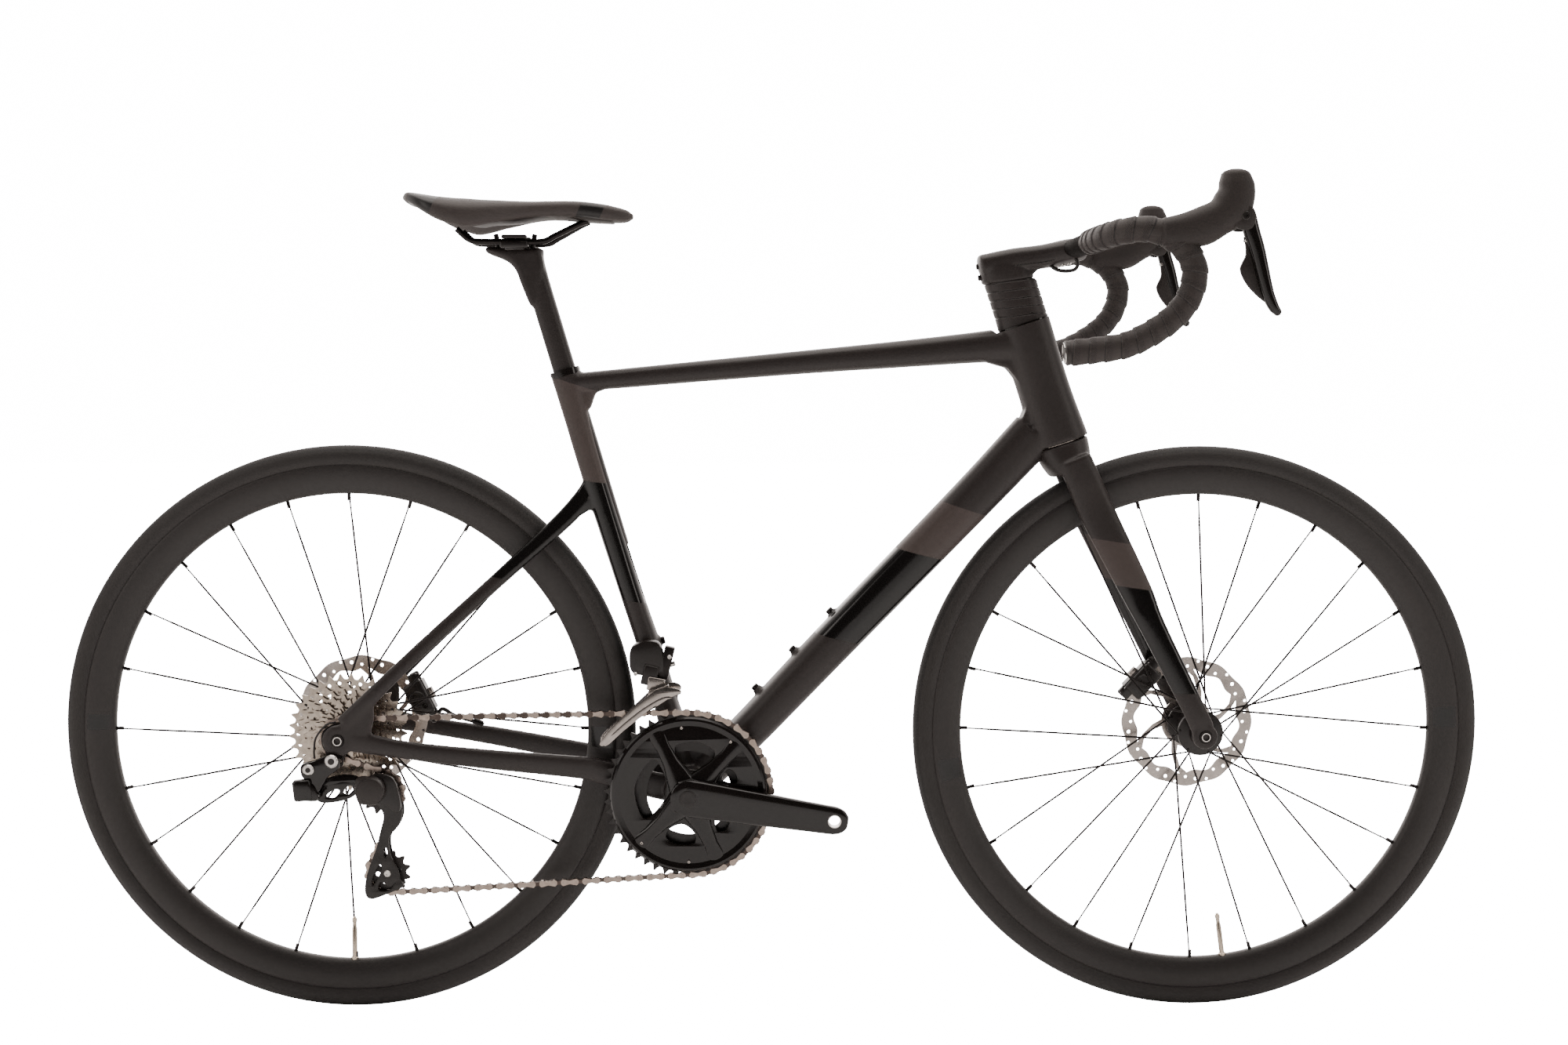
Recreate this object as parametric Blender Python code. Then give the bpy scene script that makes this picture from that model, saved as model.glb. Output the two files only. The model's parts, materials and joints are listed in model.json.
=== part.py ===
"""Road bicycle: disc brakes, electronic shifting, drop bar, no pedals fitted.

Frame: metres, +X forward, +Y to the rider's left, +Z up. The origin is on the ground,
midway between the wheel axles. The chain side is at -Y.
"""
import math

import bmesh
import bpy
from mathutils import Matrix, Vector

# ---------------------------------------------------------------- driving dimensions
WHEELBASE = 1.010
TYRE_RADIUS = 0.339
TYRE_WIDTH = 0.029
RIM_OUTER = 0.3175
RIM_INNER = 0.2815
RIM_WIDTH = 0.026
BB_DROP = 0.070
CHAINSTAY = 0.410
HEAD_ANGLE = math.radians(71.7)
SEAT_ANGLE = math.radians(73.5)
FORK_RAKE = 0.049
FORK_LENGTH = 0.376
HEAD_TUBE = 0.148
CRANK_LENGTH = 0.1725
CRANK_DROP = math.radians(8.5)
BAR_HALF_WIDTH = 0.215
PITCH = 0.0127
RING_TEETH = 48
SMALL_RING_TEETH = 35
COG_TEETH = (10, 11, 12, 13, 14, 15, 17, 19, 21, 24, 28, 33)
COG_SPACING = 0.00356
PULLEY_TEETH = 12
RING_Y = -0.0470
CHAIN_COG = 1
FIRST_COG_Y = -0.0645
SPOKES = 24
WHEEL_SIDES = 40
GAP = 0.0003

REAR = Vector((-WHEELBASE / 2, 0.0, TYRE_RADIUS))
FRONT = Vector((WHEELBASE / 2, 0.0, TYRE_RADIUS))
BB_Z = TYRE_RADIUS - BB_DROP
BB = Vector((REAR.x + math.sqrt(CHAINSTAY ** 2 - BB_DROP ** 2), 0.0, BB_Z))
COG_Y = FIRST_COG_Y + CHAIN_COG * COG_SPACING
HEAD_UP = Vector((-math.cos(HEAD_ANGLE), 0.0, math.sin(HEAD_ANGLE)))
SEAT_UP = Vector((-math.cos(SEAT_ANGLE), 0.0, math.sin(SEAT_ANGLE)))
STEER_FOOT = FRONT - FORK_RAKE * Vector((math.sin(HEAD_ANGLE), 0.0, math.cos(HEAD_ANGLE)))
CROWN = STEER_FOOT + HEAD_UP * FORK_LENGTH
HEAD_TOP = CROWN + HEAD_UP * HEAD_TUBE
GUIDE = Vector((-0.4590, COG_Y, 0.2745))
TENSION = Vector((-0.4525, COG_Y, 0.1799))
CAGE_PIVOT = Vector((-0.4670, COG_Y, 0.2811))
LINK_FOOT = Vector((-0.5300, -0.0680, 0.2830))
LINK_END = Vector((-0.4810, -0.0690, 0.2850))
LEVER_PIVOT = Vector((0.5000, 0.0, 0.9358))

# material: colour, roughness, metallic
LOOKS = {
    "frame": ((0.030, 0.025, 0.024), 0.55, 0.0),
    "gloss": ((0.012, 0.010, 0.010), 0.15, 0.0),
    "grip": ((0.035, 0.030, 0.028), 0.80, 0.0),
    "rubber": ((0.020, 0.018, 0.018), 0.85, 0.0),
    "steel": ((0.42, 0.38, 0.34), 0.30, 1.0),
    "chain": ((0.30, 0.24, 0.21), 0.35, 1.0),
    "alloy": ((0.05, 0.045, 0.045), 0.40, 1.0),
    "silver": ((0.62, 0.60, 0.57), 0.30, 1.0),
    "plastic": ((0.045, 0.040, 0.038), 0.50, 0.0),
}

for old in list(bpy.data.objects):
    bpy.data.objects.remove(old, do_unlink=True)


# ---------------------------------------------------------------- shape helpers
def material(name):
    """Principled material for one of the named looks."""
    found = bpy.data.materials.get(name)
    if found:
        return found
    colour, roughness, metallic = LOOKS[name]
    made = bpy.data.materials.new(name)
    made.use_nodes = True
    shader = made.node_tree.nodes["Principled BSDF"]
    shader.inputs["Base Color"].default_value = (*colour, 1.0)
    shader.inputs["Roughness"].default_value = roughness
    shader.inputs["Metallic"].default_value = metallic
    return made


def piece(name, mesh, look="frame", origin=None):
    """Add a mesh as one named object, with its origin where it turns or slides."""
    origin = origin or Vector((0.0, 0.0, 0.0))
    mesh.transform(Matrix.Translation(-origin))
    mesh.materials.clear()
    mesh.materials.append(material(look))
    mesh.shade_smooth()
    mesh.set_sharp_from_angle(angle=math.radians(35.0))
    made = bpy.data.objects.new(name, mesh)
    made.location = origin
    bpy.context.collection.objects.link(made)
    return made


def finish(bm, name="shape"):
    """Turn a bmesh into a mesh with its faces pointing out."""
    bmesh.ops.recalc_face_normals(bm, faces=bm.faces)
    mesh = bpy.data.meshes.new(name)
    bm.to_mesh(mesh)
    bm.free()
    return mesh


def loft(rings, closed=False):
    """Skin a row of equal rings; the ends are capped unless the row closes on itself."""
    bm = bmesh.new()
    rows = [[bm.verts.new(point) for point in ring] for ring in rings]
    count = len(rows[0])
    spans = len(rows) if closed else len(rows) - 1
    for index in range(spans):
        low = rows[index]
        high = rows[(index + 1) % len(rows)]
        for side in range(count):
            after = (side + 1) % count
            bm.faces.new((low[side], low[after], high[after], high[side]))
    if not closed:
        bm.faces.new(rows[0])
        bm.faces.new(rows[-1])
    return finish(bm)


def rib(x, z, angle, depth, width, y=0.0, sides=12, square=2.4):
    """Rounded section of a tube that runs at `angle` degrees in the side view."""
    turn = math.radians(angle)
    normal = Vector((-math.sin(turn), 0.0, math.cos(turn)))
    across = Vector((0.0, 1.0, 0.0))
    centre = Vector((x, y, z))
    ring = []
    for step in range(sides):
        phase = 2.0 * math.pi * (step + 0.5) / sides
        c = math.cos(phase)
        s = math.sin(phase)
        out = math.copysign(abs(c) ** (2.0 / square), c) * depth / 2.0
        side = math.copysign(abs(s) ** (2.0 / square), s) * width / 2.0
        ring.append(centre + normal * out + across * side)
    return ring


def turned(profile, centre, sides=24):
    """Turn a closed outline of (radius, place along the axle) points about the axle."""
    rings = []
    for step in range(sides):
        phase = 2.0 * math.pi * step / sides
        ring = []
        for radius, along in profile:
            ring.append(centre + Vector((radius * math.cos(phase), along, radius * math.sin(phase))))
        rings.append(ring)
    return loft(rings, closed=True)


def cylinder(start, end, radius, sides=16, end_radius=None):
    """Solid cylinder or cone between two points."""
    axis = (end - start).normalized()
    helper = Vector((0.0, 1.0, 0.0)) if abs(axis.y) < 0.9 else Vector((1.0, 0.0, 0.0))
    u = axis.cross(helper).normalized()
    v = axis.cross(u)
    end_radius = radius if end_radius is None else end_radius
    rings = []
    for centre, size in ((start, radius), (end, end_radius)):
        ring = []
        for step in range(sides):
            phase = 2.0 * math.pi * (step + 0.5) / sides
            ring.append(centre + u * size * math.cos(phase) + v * size * math.sin(phase))
        rings.append(ring)
    return loft(rings)


def plate(outline, y, thickness):
    """Flat plate standing in the XZ plane: outline of (x, z) points, extruded along Y."""
    rings = []
    for side in (y - thickness / 2.0, y + thickness / 2.0):
        rings.append([Vector((x, side, z)) for x, z in outline])
    return loft(rings)


def block(low, high):
    """Rectangular block between two corners."""
    rings = []
    for z in (low[2], high[2]):
        corners = ((low[0], low[1]), (high[0], low[1]), (high[0], high[1]), (low[0], high[1]))
        rings.append([Vector((x, y, z)) for x, y in corners])
    return loft(rings)


def smooth_path(points, per_span=4):
    """Points on a smooth curve through the given ones (Catmull-Rom)."""
    points = [Vector(point) for point in points]
    ends = [points[0] * 2 - points[1]] + points + [points[-1] * 2 - points[-2]]
    path = []
    for index in range(1, len(ends) - 2):
        a, b, c, d = ends[index - 1:index + 3]
        for step in range(per_span):
            t = step / per_span
            path.append(0.5 * (2 * b + (c - a) * t + (2 * a - 5 * b + 4 * c - d) * t ** 2
                               + (3 * b - a - 3 * c + d) * t ** 3))
    path.append(points[-1])
    return path


def swept(path, radius, sides=10):
    """Round tube along a path, its section carried without twist."""
    tangents = []
    for index in range(len(path)):
        before = path[max(index - 1, 0)]
        after = path[min(index + 1, len(path) - 1)]
        tangents.append((after - before).normalized())
    helper = Vector((0.0, 0.0, 1.0)) if abs(tangents[0].z) < 0.9 else Vector((1.0, 0.0, 0.0))
    u = tangents[0].cross(helper).normalized()
    rings = []
    for centre, tangent in zip(path, tangents):
        u = (u - tangent * u.dot(tangent)).normalized()
        v = tangent.cross(u)
        ring = []
        for step in range(sides):
            phase = 2.0 * math.pi * step / sides
            ring.append(centre + (u * math.cos(phase) + v * math.sin(phase)) * radius)
        rings.append(ring)
    return loft(rings)


def combined(base, others, operation):
    """Join or cut meshes with the exact Boolean and return the new mesh."""
    carrier = bpy.data.objects.new("carrier", base)
    bpy.context.collection.objects.link(carrier)
    helpers = []
    for other in others:
        helper = bpy.data.objects.new("helper", other)
        bpy.context.collection.objects.link(helper)
        modifier = carrier.modifiers.new(operation.lower(), "BOOLEAN")
        modifier.operation = operation
        modifier.solver = "EXACT"
        modifier.object = helper
        helpers.append(helper)
    graph = bpy.context.evaluated_depsgraph_get()
    result = bpy.data.meshes.new_from_object(carrier.evaluated_get(graph))
    for helper in helpers + [carrier]:
        bpy.data.objects.remove(helper, do_unlink=True)
    bm = bmesh.new()
    bm.from_mesh(result)
    bmesh.ops.remove_doubles(bm, verts=bm.verts, dist=0.000002)
    return finish(bm)


def joined(base, *others):
    return combined(base, others, "UNION")


def cut(base, *others):
    return combined(base, others, "DIFFERENCE")


def pitch_radius(teeth):
    return PITCH / (2.0 * math.sin(math.pi / teeth))


# ---------------------------------------------------------------- main frame
def seat_point(distance):
    """Point on the seat tube's centre line, measured up from the bottom bracket."""
    return BB + SEAT_UP * distance


SEAT_TOP = 0.5160
POST_DEPTH = 0.0270
POST_WIDTH = 0.0220


def seat_rib(distance, depth, width, sides=12):
    at = seat_point(distance)
    return rib(at.x, at.z, math.degrees(math.pi - SEAT_ANGLE), depth, width, sides=sides)


def make_main_frame():
    seat_tube = loft([seat_rib(0.000, 0.040, 0.060), seat_rib(0.060, 0.034, 0.048),
                      seat_rib(0.200, 0.031, 0.036), seat_rib(0.420, 0.033, 0.034),
                      seat_rib(SEAT_TOP, 0.036, 0.032)])
    down_tube = loft([rib(-0.100, 0.268, 46.0, 0.044, 0.070), rib(-0.034, 0.334, 46.0, 0.046, 0.062),
                      rib(0.086, 0.460, 46.0, 0.049, 0.052), rib(0.250, 0.631, 46.0, 0.052, 0.046),
                      rib(0.313, 0.698, 46.0, 0.056, 0.044)])
    top_tube = loft([rib(-0.248, 0.7500, 5.0, 0.0235, 0.030), rib(0.010, 0.7745, 5.0, 0.0275, 0.038),
                     rib(0.200, 0.7925, 5.0, 0.0340, 0.042), rib(0.291, 0.7950, 5.0, 0.0460, 0.044)])
    up = math.degrees(math.pi - HEAD_ANGLE)
    low = CROWN + HEAD_UP * 0.0005
    middle = CROWN + HEAD_UP * 0.070
    head_tube = loft([rib(low.x, low.z, up, 0.066, 0.058, sides=16),
                      rib(middle.x, middle.z, up, 0.062, 0.053, sides=16),
                      rib(HEAD_TOP.x, HEAD_TOP.z, up, 0.063, 0.0535, sides=16)])
    shell = cylinder(BB + Vector((0, -0.0430, 0)), BB + Vector((0, 0.0430, 0)), 0.0270, 20)
    bosses = []
    for distance in (0.178, 0.114):
        foot = seat_point(distance) + Vector((math.sin(SEAT_ANGLE), 0, math.cos(SEAT_ANGLE))) * 0.012
        tip = foot + Vector((math.sin(SEAT_ANGLE), 0, math.cos(SEAT_ANGLE))) * 0.0060
        bosses.append(cylinder(foot, tip, 0.0060, 10))
    normal = Vector((-math.sin(math.radians(46.0)), 0, math.cos(math.radians(46.0))))
    along = Vector((math.cos(math.radians(46.0)), 0, math.sin(math.radians(46.0))))
    for distance in (0.140, 0.204, 0.268):
        foot = BB + along * distance + normal * 0.016
        bosses.append(cylinder(foot, foot + normal * 0.0105, 0.0060, 10))
    solid = joined(seat_tube, down_tube, top_tube, head_tube, shell, *bosses)
    bore = cylinder(BB + Vector((0, -0.05, 0)), BB + Vector((0, 0.05, 0)), 0.0208, 20)
    steerer_bore = cylinder(CROWN - HEAD_UP * 0.02, HEAD_TOP + HEAD_UP * 0.02, 0.0200, 16)
    lower_seat = cylinder(CROWN - HEAD_UP * 0.02, CROWN + HEAD_UP * 0.0100, 0.0264, 20)
    upper_seat = cylinder(HEAD_TOP - HEAD_UP * 0.0130, HEAD_TOP + HEAD_UP * 0.02, 0.0239, 20)
    post_bore = loft([seat_rib(0.240, POST_DEPTH + 0.0006, POST_WIDTH + 0.0006),
                      seat_rib(SEAT_TOP + 0.01, POST_DEPTH + 0.0006, POST_WIDTH + 0.0006)])
    recess = cylinder(CROWN - HEAD_UP * 0.080, CROWN + HEAD_UP * 0.0003, 0.050, 24, 0.036)
    lid = cylinder(HEAD_TOP + HEAD_UP * 0.0001, HEAD_TOP + HEAD_UP * 0.0300, 0.0370, 24)
    solid = cut(solid, recess, lid, bore, steerer_bore)
    return piece("main_frame", cut(solid, lower_seat, upper_seat, post_bore))


def make_rear_stays(side, name):
    """Chain stay, seat stay and dropout of one side, bonded to the main frame."""
    axle_y = 0.0770 * side
    chain_stay = loft([rib(-0.1180, 0.2715, 170.0, 0.032, 0.010, y=0.0250 * side),
                       rib(-0.1410, 0.2755, 170.0, 0.030, 0.012, y=0.0285 * side),
                       rib(-0.2050, 0.2950, 168.0, 0.028, 0.013, y=0.0335 * side),
                       rib(-0.2330, 0.3020, 168.0, 0.027, 0.014, y=0.0410 * side),
                       rib(-0.3366, 0.3150, 172.0, 0.0235, 0.012, y=0.0660 * side),
                       rib(-0.4300, 0.3270, 172.0, 0.0220, 0.010, y=axle_y),
                       rib(-0.4900, 0.3380, 172.0, 0.0260, 0.010, y=axle_y)])
    seat_stay = loft([rib(-0.2130, 0.6280, 225.0, 0.026, 0.011, y=0.0065 * side),
                      rib(-0.2330, 0.6080, 225.0, 0.022, 0.012, y=0.0095 * side),
                      rib(-0.2620, 0.5785, 225.0, 0.020, 0.012, y=0.0200 * side),
                      rib(-0.3300, 0.5170, 222.0, 0.0165, 0.010, y=0.0440 * side),
                      rib(-0.4030, 0.4505, 222.0, 0.0160, 0.010, y=0.0640 * side),
                      rib(-0.4600, 0.3960, 224.0, 0.0170, 0.010, y=axle_y),
                      rib(-0.5020, 0.3520, 226.0, 0.0200, 0.0092, y=axle_y)])
    dropout = cylinder(Vector((REAR.x, 0.0722 * side, REAR.z)), Vector((REAR.x, 0.0818 * side, REAR.z)),
                       0.0175, 16)
    hole = cylinder(Vector((REAR.x, 0.05 * side, REAR.z)), Vector((REAR.x, 0.10 * side, REAR.z)), 0.0063, 12)
    shell_room = cylinder(BB + Vector((0, -0.05, 0)), BB + Vector((0, 0.05, 0)), 0.0276, 20)
    tube_room = loft([seat_rib(0.000, 0.041, 0.061), seat_rib(0.060, 0.035, 0.049),
                      seat_rib(0.200, 0.032, 0.037), seat_rib(0.420, 0.034, 0.035)])
    return piece(name, cut(joined(chain_stay, seat_stay, dropout), hole, shell_room, tube_room), "frame")


def make_hanger():
    """Derailleur hanger, bolted inside the right dropout."""
    arm = plate(((-0.5180, 0.3500), (-0.4930, 0.3500), (-0.4930, 0.3280), (-0.5010, 0.3070),
                 (-0.5230, 0.3070), (-0.5230, 0.3200)), -0.0703, 0.0030)
    hole = cylinder(Vector((REAR.x, -0.05, REAR.z)), Vector((REAR.x, -0.10, REAR.z)), 0.0063, 12)
    return piece("derailleur_hanger", cut(arm, hole), "alloy")


def make_bearings():
    for side, name in ((-1, "bottom_bracket_cup_right"), (1, "bottom_bracket_cup_left")):
        profile = ((0.0148, 0.0300 * side), (0.0205, 0.0300 * side), (0.0205, 0.0433 * side),
                   (0.0235, 0.0433 * side), (0.0235, 0.0458 * side), (0.0148, 0.0458 * side))
        piece(name, turned(profile, BB, 16), "alloy")
    for name, low, high, inner, outer in (
            ("headset_bearing_lower", CROWN + HEAD_UP * 0.0012, CROWN + HEAD_UP * 0.0085, 0.0195, 0.0261),
            ("headset_bearing_upper", HEAD_TOP - HEAD_UP * 0.0125, HEAD_TOP - HEAD_UP * 0.0060,
             0.0147, 0.0236)):
        ring = cylinder(low, high, outer, 20)
        core = cylinder(low - HEAD_UP * 0.01, high + HEAD_UP * 0.01, inner, 16)
        piece(name, cut(ring, core), "steel")


# ---------------------------------------------------------------- fork, stem and bar
def steer_point(distance):
    return CROWN + HEAD_UP * distance


def make_fork():
    up = math.degrees(math.pi - HEAD_ANGLE)
    top = steer_point(-0.0005)
    low = steer_point(-0.030)
    crown = loft([rib(top.x, top.z, up, 0.0655, 0.057, sides=16),
                  rib(low.x, low.z, up, 0.052, 0.078, sides=16)])
    blades = []
    for side in (-1, 1):
        blades.append(loft([rib(0.3560, 0.6540, -67.0, 0.040, 0.016, y=0.0300 * side),
                            rib(0.3720, 0.6150, -66.0, 0.042, 0.015, y=0.0310 * side),
                            rib(0.4240, 0.5092, -65.0, 0.037, 0.014, y=0.0430 * side),
                            rib(0.4430, 0.4675, -65.0, 0.029, 0.013, y=0.0485 * side),
                            rib(0.4890, 0.3760, -62.0, 0.027, 0.011, y=0.0560 * side),
                            rib(0.5020, 0.3480, -60.0, 0.028, 0.0105, y=0.0562 * side)]))
        blades.append(cylinder(Vector((FRONT.x, 0.0512 * side, FRONT.z)),
                               Vector((FRONT.x, 0.0612 * side, FRONT.z)), 0.0145, 16))
    steerer = cylinder(steer_point(-0.010), steer_point(0.0240), 0.0190, 16)
    column = cylinder(steer_point(0.0200), steer_point(0.2250), 0.0142, 16)
    solid = joined(crown, *blades, steerer, column)
    clearance = cylinder(Vector((FRONT.x, -0.0205, FRONT.z)), Vector((FRONT.x, 0.0205, FRONT.z)),
                         TYRE_RADIUS + 0.0050, 48)
    hole = cylinder(Vector((FRONT.x, -0.1, FRONT.z)), Vector((FRONT.x, 0.1, FRONT.z)), 0.0063, 12)
    return piece("fork", cut(solid, clearance, hole), "frame", origin=CROWN)


SPACER_SLOPE = 97.0
STEM_BASE = 0.2010


def make_spacers_and_stem():
    spacers = 2
    first = HEAD_TUBE + 0.0008
    height = (STEM_BASE - first) / spacers
    for index in range(spacers):
        low = steer_point(first + index * height)
        high = steer_point(first + (index + 1) * height - GAP)
        foot_slope = math.degrees(math.pi - HEAD_ANGLE) if index == 0 else SPACER_SLOPE
        body = loft([rib(low.x, low.z, foot_slope, 0.0610, 0.0420, sides=16),
                     rib(high.x, high.z, SPACER_SLOPE, 0.0605, 0.0420, sides=16)])
        core = cylinder(steer_point(0.10), steer_point(0.26), 0.0146, 16)
        piece("spacer_stack_%d" % (index + 1), cut(body, core), "frame")
    base = steer_point(STEM_BASE)
    top = steer_point(0.2300)
    clamp = loft([rib(base.x, base.z, SPACER_SLOPE, 0.0605, 0.0420, sides=16),
                  rib(top.x + 0.0010, top.z, 101.0, 0.0600, 0.0420, sides=16)])
    arm = loft([rib(0.2600, 0.8915, 11.0, 0.026, 0.040), rib(0.3150, 0.9010, 11.0, 0.027, 0.044),
                rib(0.3560, 0.9085, 11.0, 0.029, 0.060), rib(0.3690, 0.9110, 11.0, 0.024, 0.060)])
    core = cylinder(steer_point(0.19), steer_point(0.2262), 0.0146, 16)
    bar_slot = cylinder(Vector((0.3510, -0.1, 0.9095)), Vector((0.3510, 0.1, 0.9095)), 0.0112, 16)
    piece("stem", cut(joined(clamp, arm), core, bar_slot), "frame")


BAR_ROUTE = ((0.3510, 0.000, 0.9095), (0.3510, 0.090, 0.9095), (0.3550, 0.160, 0.9110),
             (0.3700, 0.196, 0.9150), (0.3950, 0.211, 0.9170), (0.4180, 0.215, 0.9100),
             (0.4380, 0.215, 0.8930), (0.4463, 0.216, 0.8698), (0.4380, 0.217, 0.8400),
             (0.4150, 0.218, 0.8160), (0.3766, 0.219, 0.7948), (0.3400, 0.220, 0.7880),
             (0.3110, 0.220, 0.7850))
BAR_RADIUS = 0.0108
TAPE_RADIUS = 0.0143
TAPE_CORE = 0.0120


def bar_side(side):
    return smooth_path([(x, y * side, z) for x, y, z in BAR_ROUTE], 2)


def make_handlebar():
    left = bar_side(1)
    right = bar_side(-1)
    whole = list(reversed(right)) + left[1:]
    piece("handlebar", swept(whole, BAR_RADIUS, 8), "alloy")


def make_bar_tape(side, name):
    path = bar_side(side)
    start = 3
    route = path[start:]
    outer = swept(route, TAPE_RADIUS, 10)
    longer = [route[0] * 2 - route[1]] + route + [route[-1] * 2 - route[-2]]
    core = swept(longer, TAPE_CORE, 8)
    piece(name, cut(outer, core), "grip")


HOOD_SLOT = ((0.4420, 0.9150, 8.0, 0.030, 0.036), (0.4600, 0.9230, 14.0, 0.034, 0.038),
             (0.4780, 0.9385, 28.0, 0.034, 0.037), (0.4900, 0.9520, 60.0, 0.038, 0.036),
             (0.4915, 0.9665, 82.0, 0.034, 0.032), (0.4895, 0.9790, 88.0, 0.018, 0.018))


def make_lever_group(side, suffix):
    y = BAR_HALF_WIDTH * side
    hood = loft([rib(*values, y=y) for values in HOOD_SLOT])
    clearance = swept(bar_side(side), TAPE_RADIUS + 0.0012, 10)
    piece("brake_hood_" + suffix, cut(hood, clearance), "grip")
    pivot = LEVER_PIVOT + Vector((0.0, y, 0.0))
    blade = loft([rib(0.5060, 0.9160, -70.0, 0.012, 0.013, y=y, sides=8),
                  rib(0.5140, 0.8950, -72.0, 0.012, 0.014, y=y, sides=8),
                  rib(0.5205, 0.8720, -72.0, 0.0100, 0.013, y=y, sides=8),
                  rib(0.5280, 0.8480, -70.0, 0.0085, 0.012, y=y, sides=8),
                  rib(0.5365, 0.8290, -62.0, 0.0080, 0.010, y=y, sides=8)])
    piece("brake_lever_" + suffix, blade, "gloss", origin=pivot)
    outline = ((0.4950, 0.9080), (0.4925, 0.8770), (0.5020, 0.8580), (0.5150, 0.8430),
               (0.5190, 0.8500), (0.5120, 0.8720), (0.5045, 0.8950), (0.4985, 0.9080))
    paddle = plate(outline, y - 0.002 * side, 0.005)
    piece("shift_paddle_" + suffix, paddle, "plastic", origin=Vector((0.4970, y, 0.9080)))


# ---------------------------------------------------------------- wheels
def make_wheel(prefix, centre, hub_half, flange_left, flange_right, rotor_y, barrel):
    rounded = []
    for step in range(7):
        phase = math.radians(-125.0 + 250.0 * step / 6)
        rounded.append((TYRE_RADIUS - 0.0145 + 0.0145 * math.cos(phase),
                        TYRE_WIDTH / 2.0 * math.sin(phase)))
    piece(prefix + "_tyre", turned(rounded, centre, WHEEL_SIDES), "rubber", origin=centre)
    half = RIM_WIDTH / 2.0
    bed = RIM_OUTER - 0.0030
    outline = ((RIM_INNER, -0.004), (RIM_INNER, 0.004), (RIM_INNER + 0.012, half * 0.88),
               (bed - 0.004, half), (bed - 0.0015, half - 0.003), (bed - 0.0045, 0.0),
               (bed - 0.0015, -half + 0.003), (bed - 0.004, -half), (RIM_INNER + 0.012, -half * 0.88))
    piece(prefix + "_rim", turned(outline, centre, WHEEL_SIDES), "gloss", origin=centre)
    hub = ((0.0070, -hub_half), (0.0125, -hub_half), (0.0125, flange_right - 0.003),
           (0.0210, flange_right - 0.003), (0.0210, flange_right + 0.002), (barrel, flange_right + 0.006),
           (barrel, flange_left - 0.006), (0.0210, flange_left - 0.002), (0.0210, flange_left + 0.003),
           (0.0125, flange_left + 0.003), (0.0125, hub_half), (0.0070, hub_half))
    piece(prefix + "_hub", turned(hub, centre, 16), "alloy", origin=centre)
    make_spokes(prefix + "_spokes", centre, flange_left, flange_right)
    make_rotor(prefix + "_brake_rotor", centre, rotor_y)


def make_spokes(name, centre, flange_left, flange_right):
    """Crossed bladed spokes, joined at the rim end by the ring that their nipples seat on."""
    outer = RIM_INNER * math.cos(math.pi / WHEEL_SIDES) - GAP
    inner = outer - 0.0010
    thick = 0.0010
    bm = bmesh.new()
    stations = []
    for index in range(SPOKES):
        middle = 2.0 * math.pi * index / SPOKES
        for step in (-1, 1):
            stations.append(middle + step * thick / inner)
    rows = []
    for phase in stations:
        row = []
        for radius, y in ((outer, -0.0010), (outer, 0.0010), (inner, 0.0010), (inner, -0.0010)):
            row.append(bm.verts.new((radius * math.cos(phase), y, radius * math.sin(phase))))
        rows.append(row)
    count = len(rows)
    for index in range(count):
        after = rows[(index + 1) % count]
        here = rows[index]
        for corner in range(4):
            following = (corner + 1) % 4
            foot = index % 2 == 0 and corner == 2
            if foot:
                continue
            bm.faces.new((here[corner], here[following], after[following], after[corner]))
    for index in range(SPOKES):
        left = index % 2 == 0
        leading = (index // 2) % 2 == 0
        flange = flange_left if left else flange_right
        lean = math.radians(52.0) * (1 if leading else -1)
        middle = 2.0 * math.pi * index / SPOKES
        hub_phase = middle + lean
        offset = 0.0013 * (1 if leading else -1)
        here = rows[2 * index]
        after = rows[2 * index + 1]
        base = [here[2], here[3], after[3], after[2]]
        foot = Vector((0.0245 * math.cos(hub_phase), flange + offset, 0.0245 * math.sin(hub_phase)))
        along = (foot - Vector((inner * math.cos(middle), 0.0, inner * math.sin(middle)))).normalized()
        side = along.cross(Vector((0.0, 1.0, 0.0))).normalized()
        tip = []
        for turn, rise in ((1, 1), (1, -1), (-1, -1), (-1, 1)):
            place = foot + side * (turn * 0.0008) + Vector((0.0, rise * 0.0008, 0.0))
            tip.append(bm.verts.new(place))
        for corner in range(4):
            following = (corner + 1) % 4
            bm.faces.new((base[corner], base[following], tip[following], tip[corner]))
        bm.faces.new(tip)
    mesh = finish(bm)
    mesh.transform(Matrix.Translation(centre))
    piece(name, mesh, "gloss", origin=centre)


def make_rotor(name, centre, y):
    half = 0.0009
    ring = turned(((0.0660, y - half), (0.0800, y - half), (0.0800, y + half), (0.0660, y + half)),
                  centre, 24)
    core = turned(((0.0135, y - half), (0.0290, y - half), (0.0290, y + half), (0.0135, y + half)),
                  centre, 14)
    arms = []
    for index in range(6):
        phase = 2.0 * math.pi * index / 6
        start = centre + Vector((0.027 * math.cos(phase), y, 0.027 * math.sin(phase)))
        end = centre + Vector((0.068 * math.cos(phase + 0.5), y, 0.068 * math.sin(phase + 0.5)))
        along = (end - start).normalized()
        across = Vector((-along.z, 0.0, along.x)) * 0.0022
        corners = (start + across, end + across, end - across, start - across)
        arms.append(plate([(corner.x, corner.z) for corner in corners], y, half * 2.0))
    piece(name, joined(ring, core, *arms), "steel", origin=centre)


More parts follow.
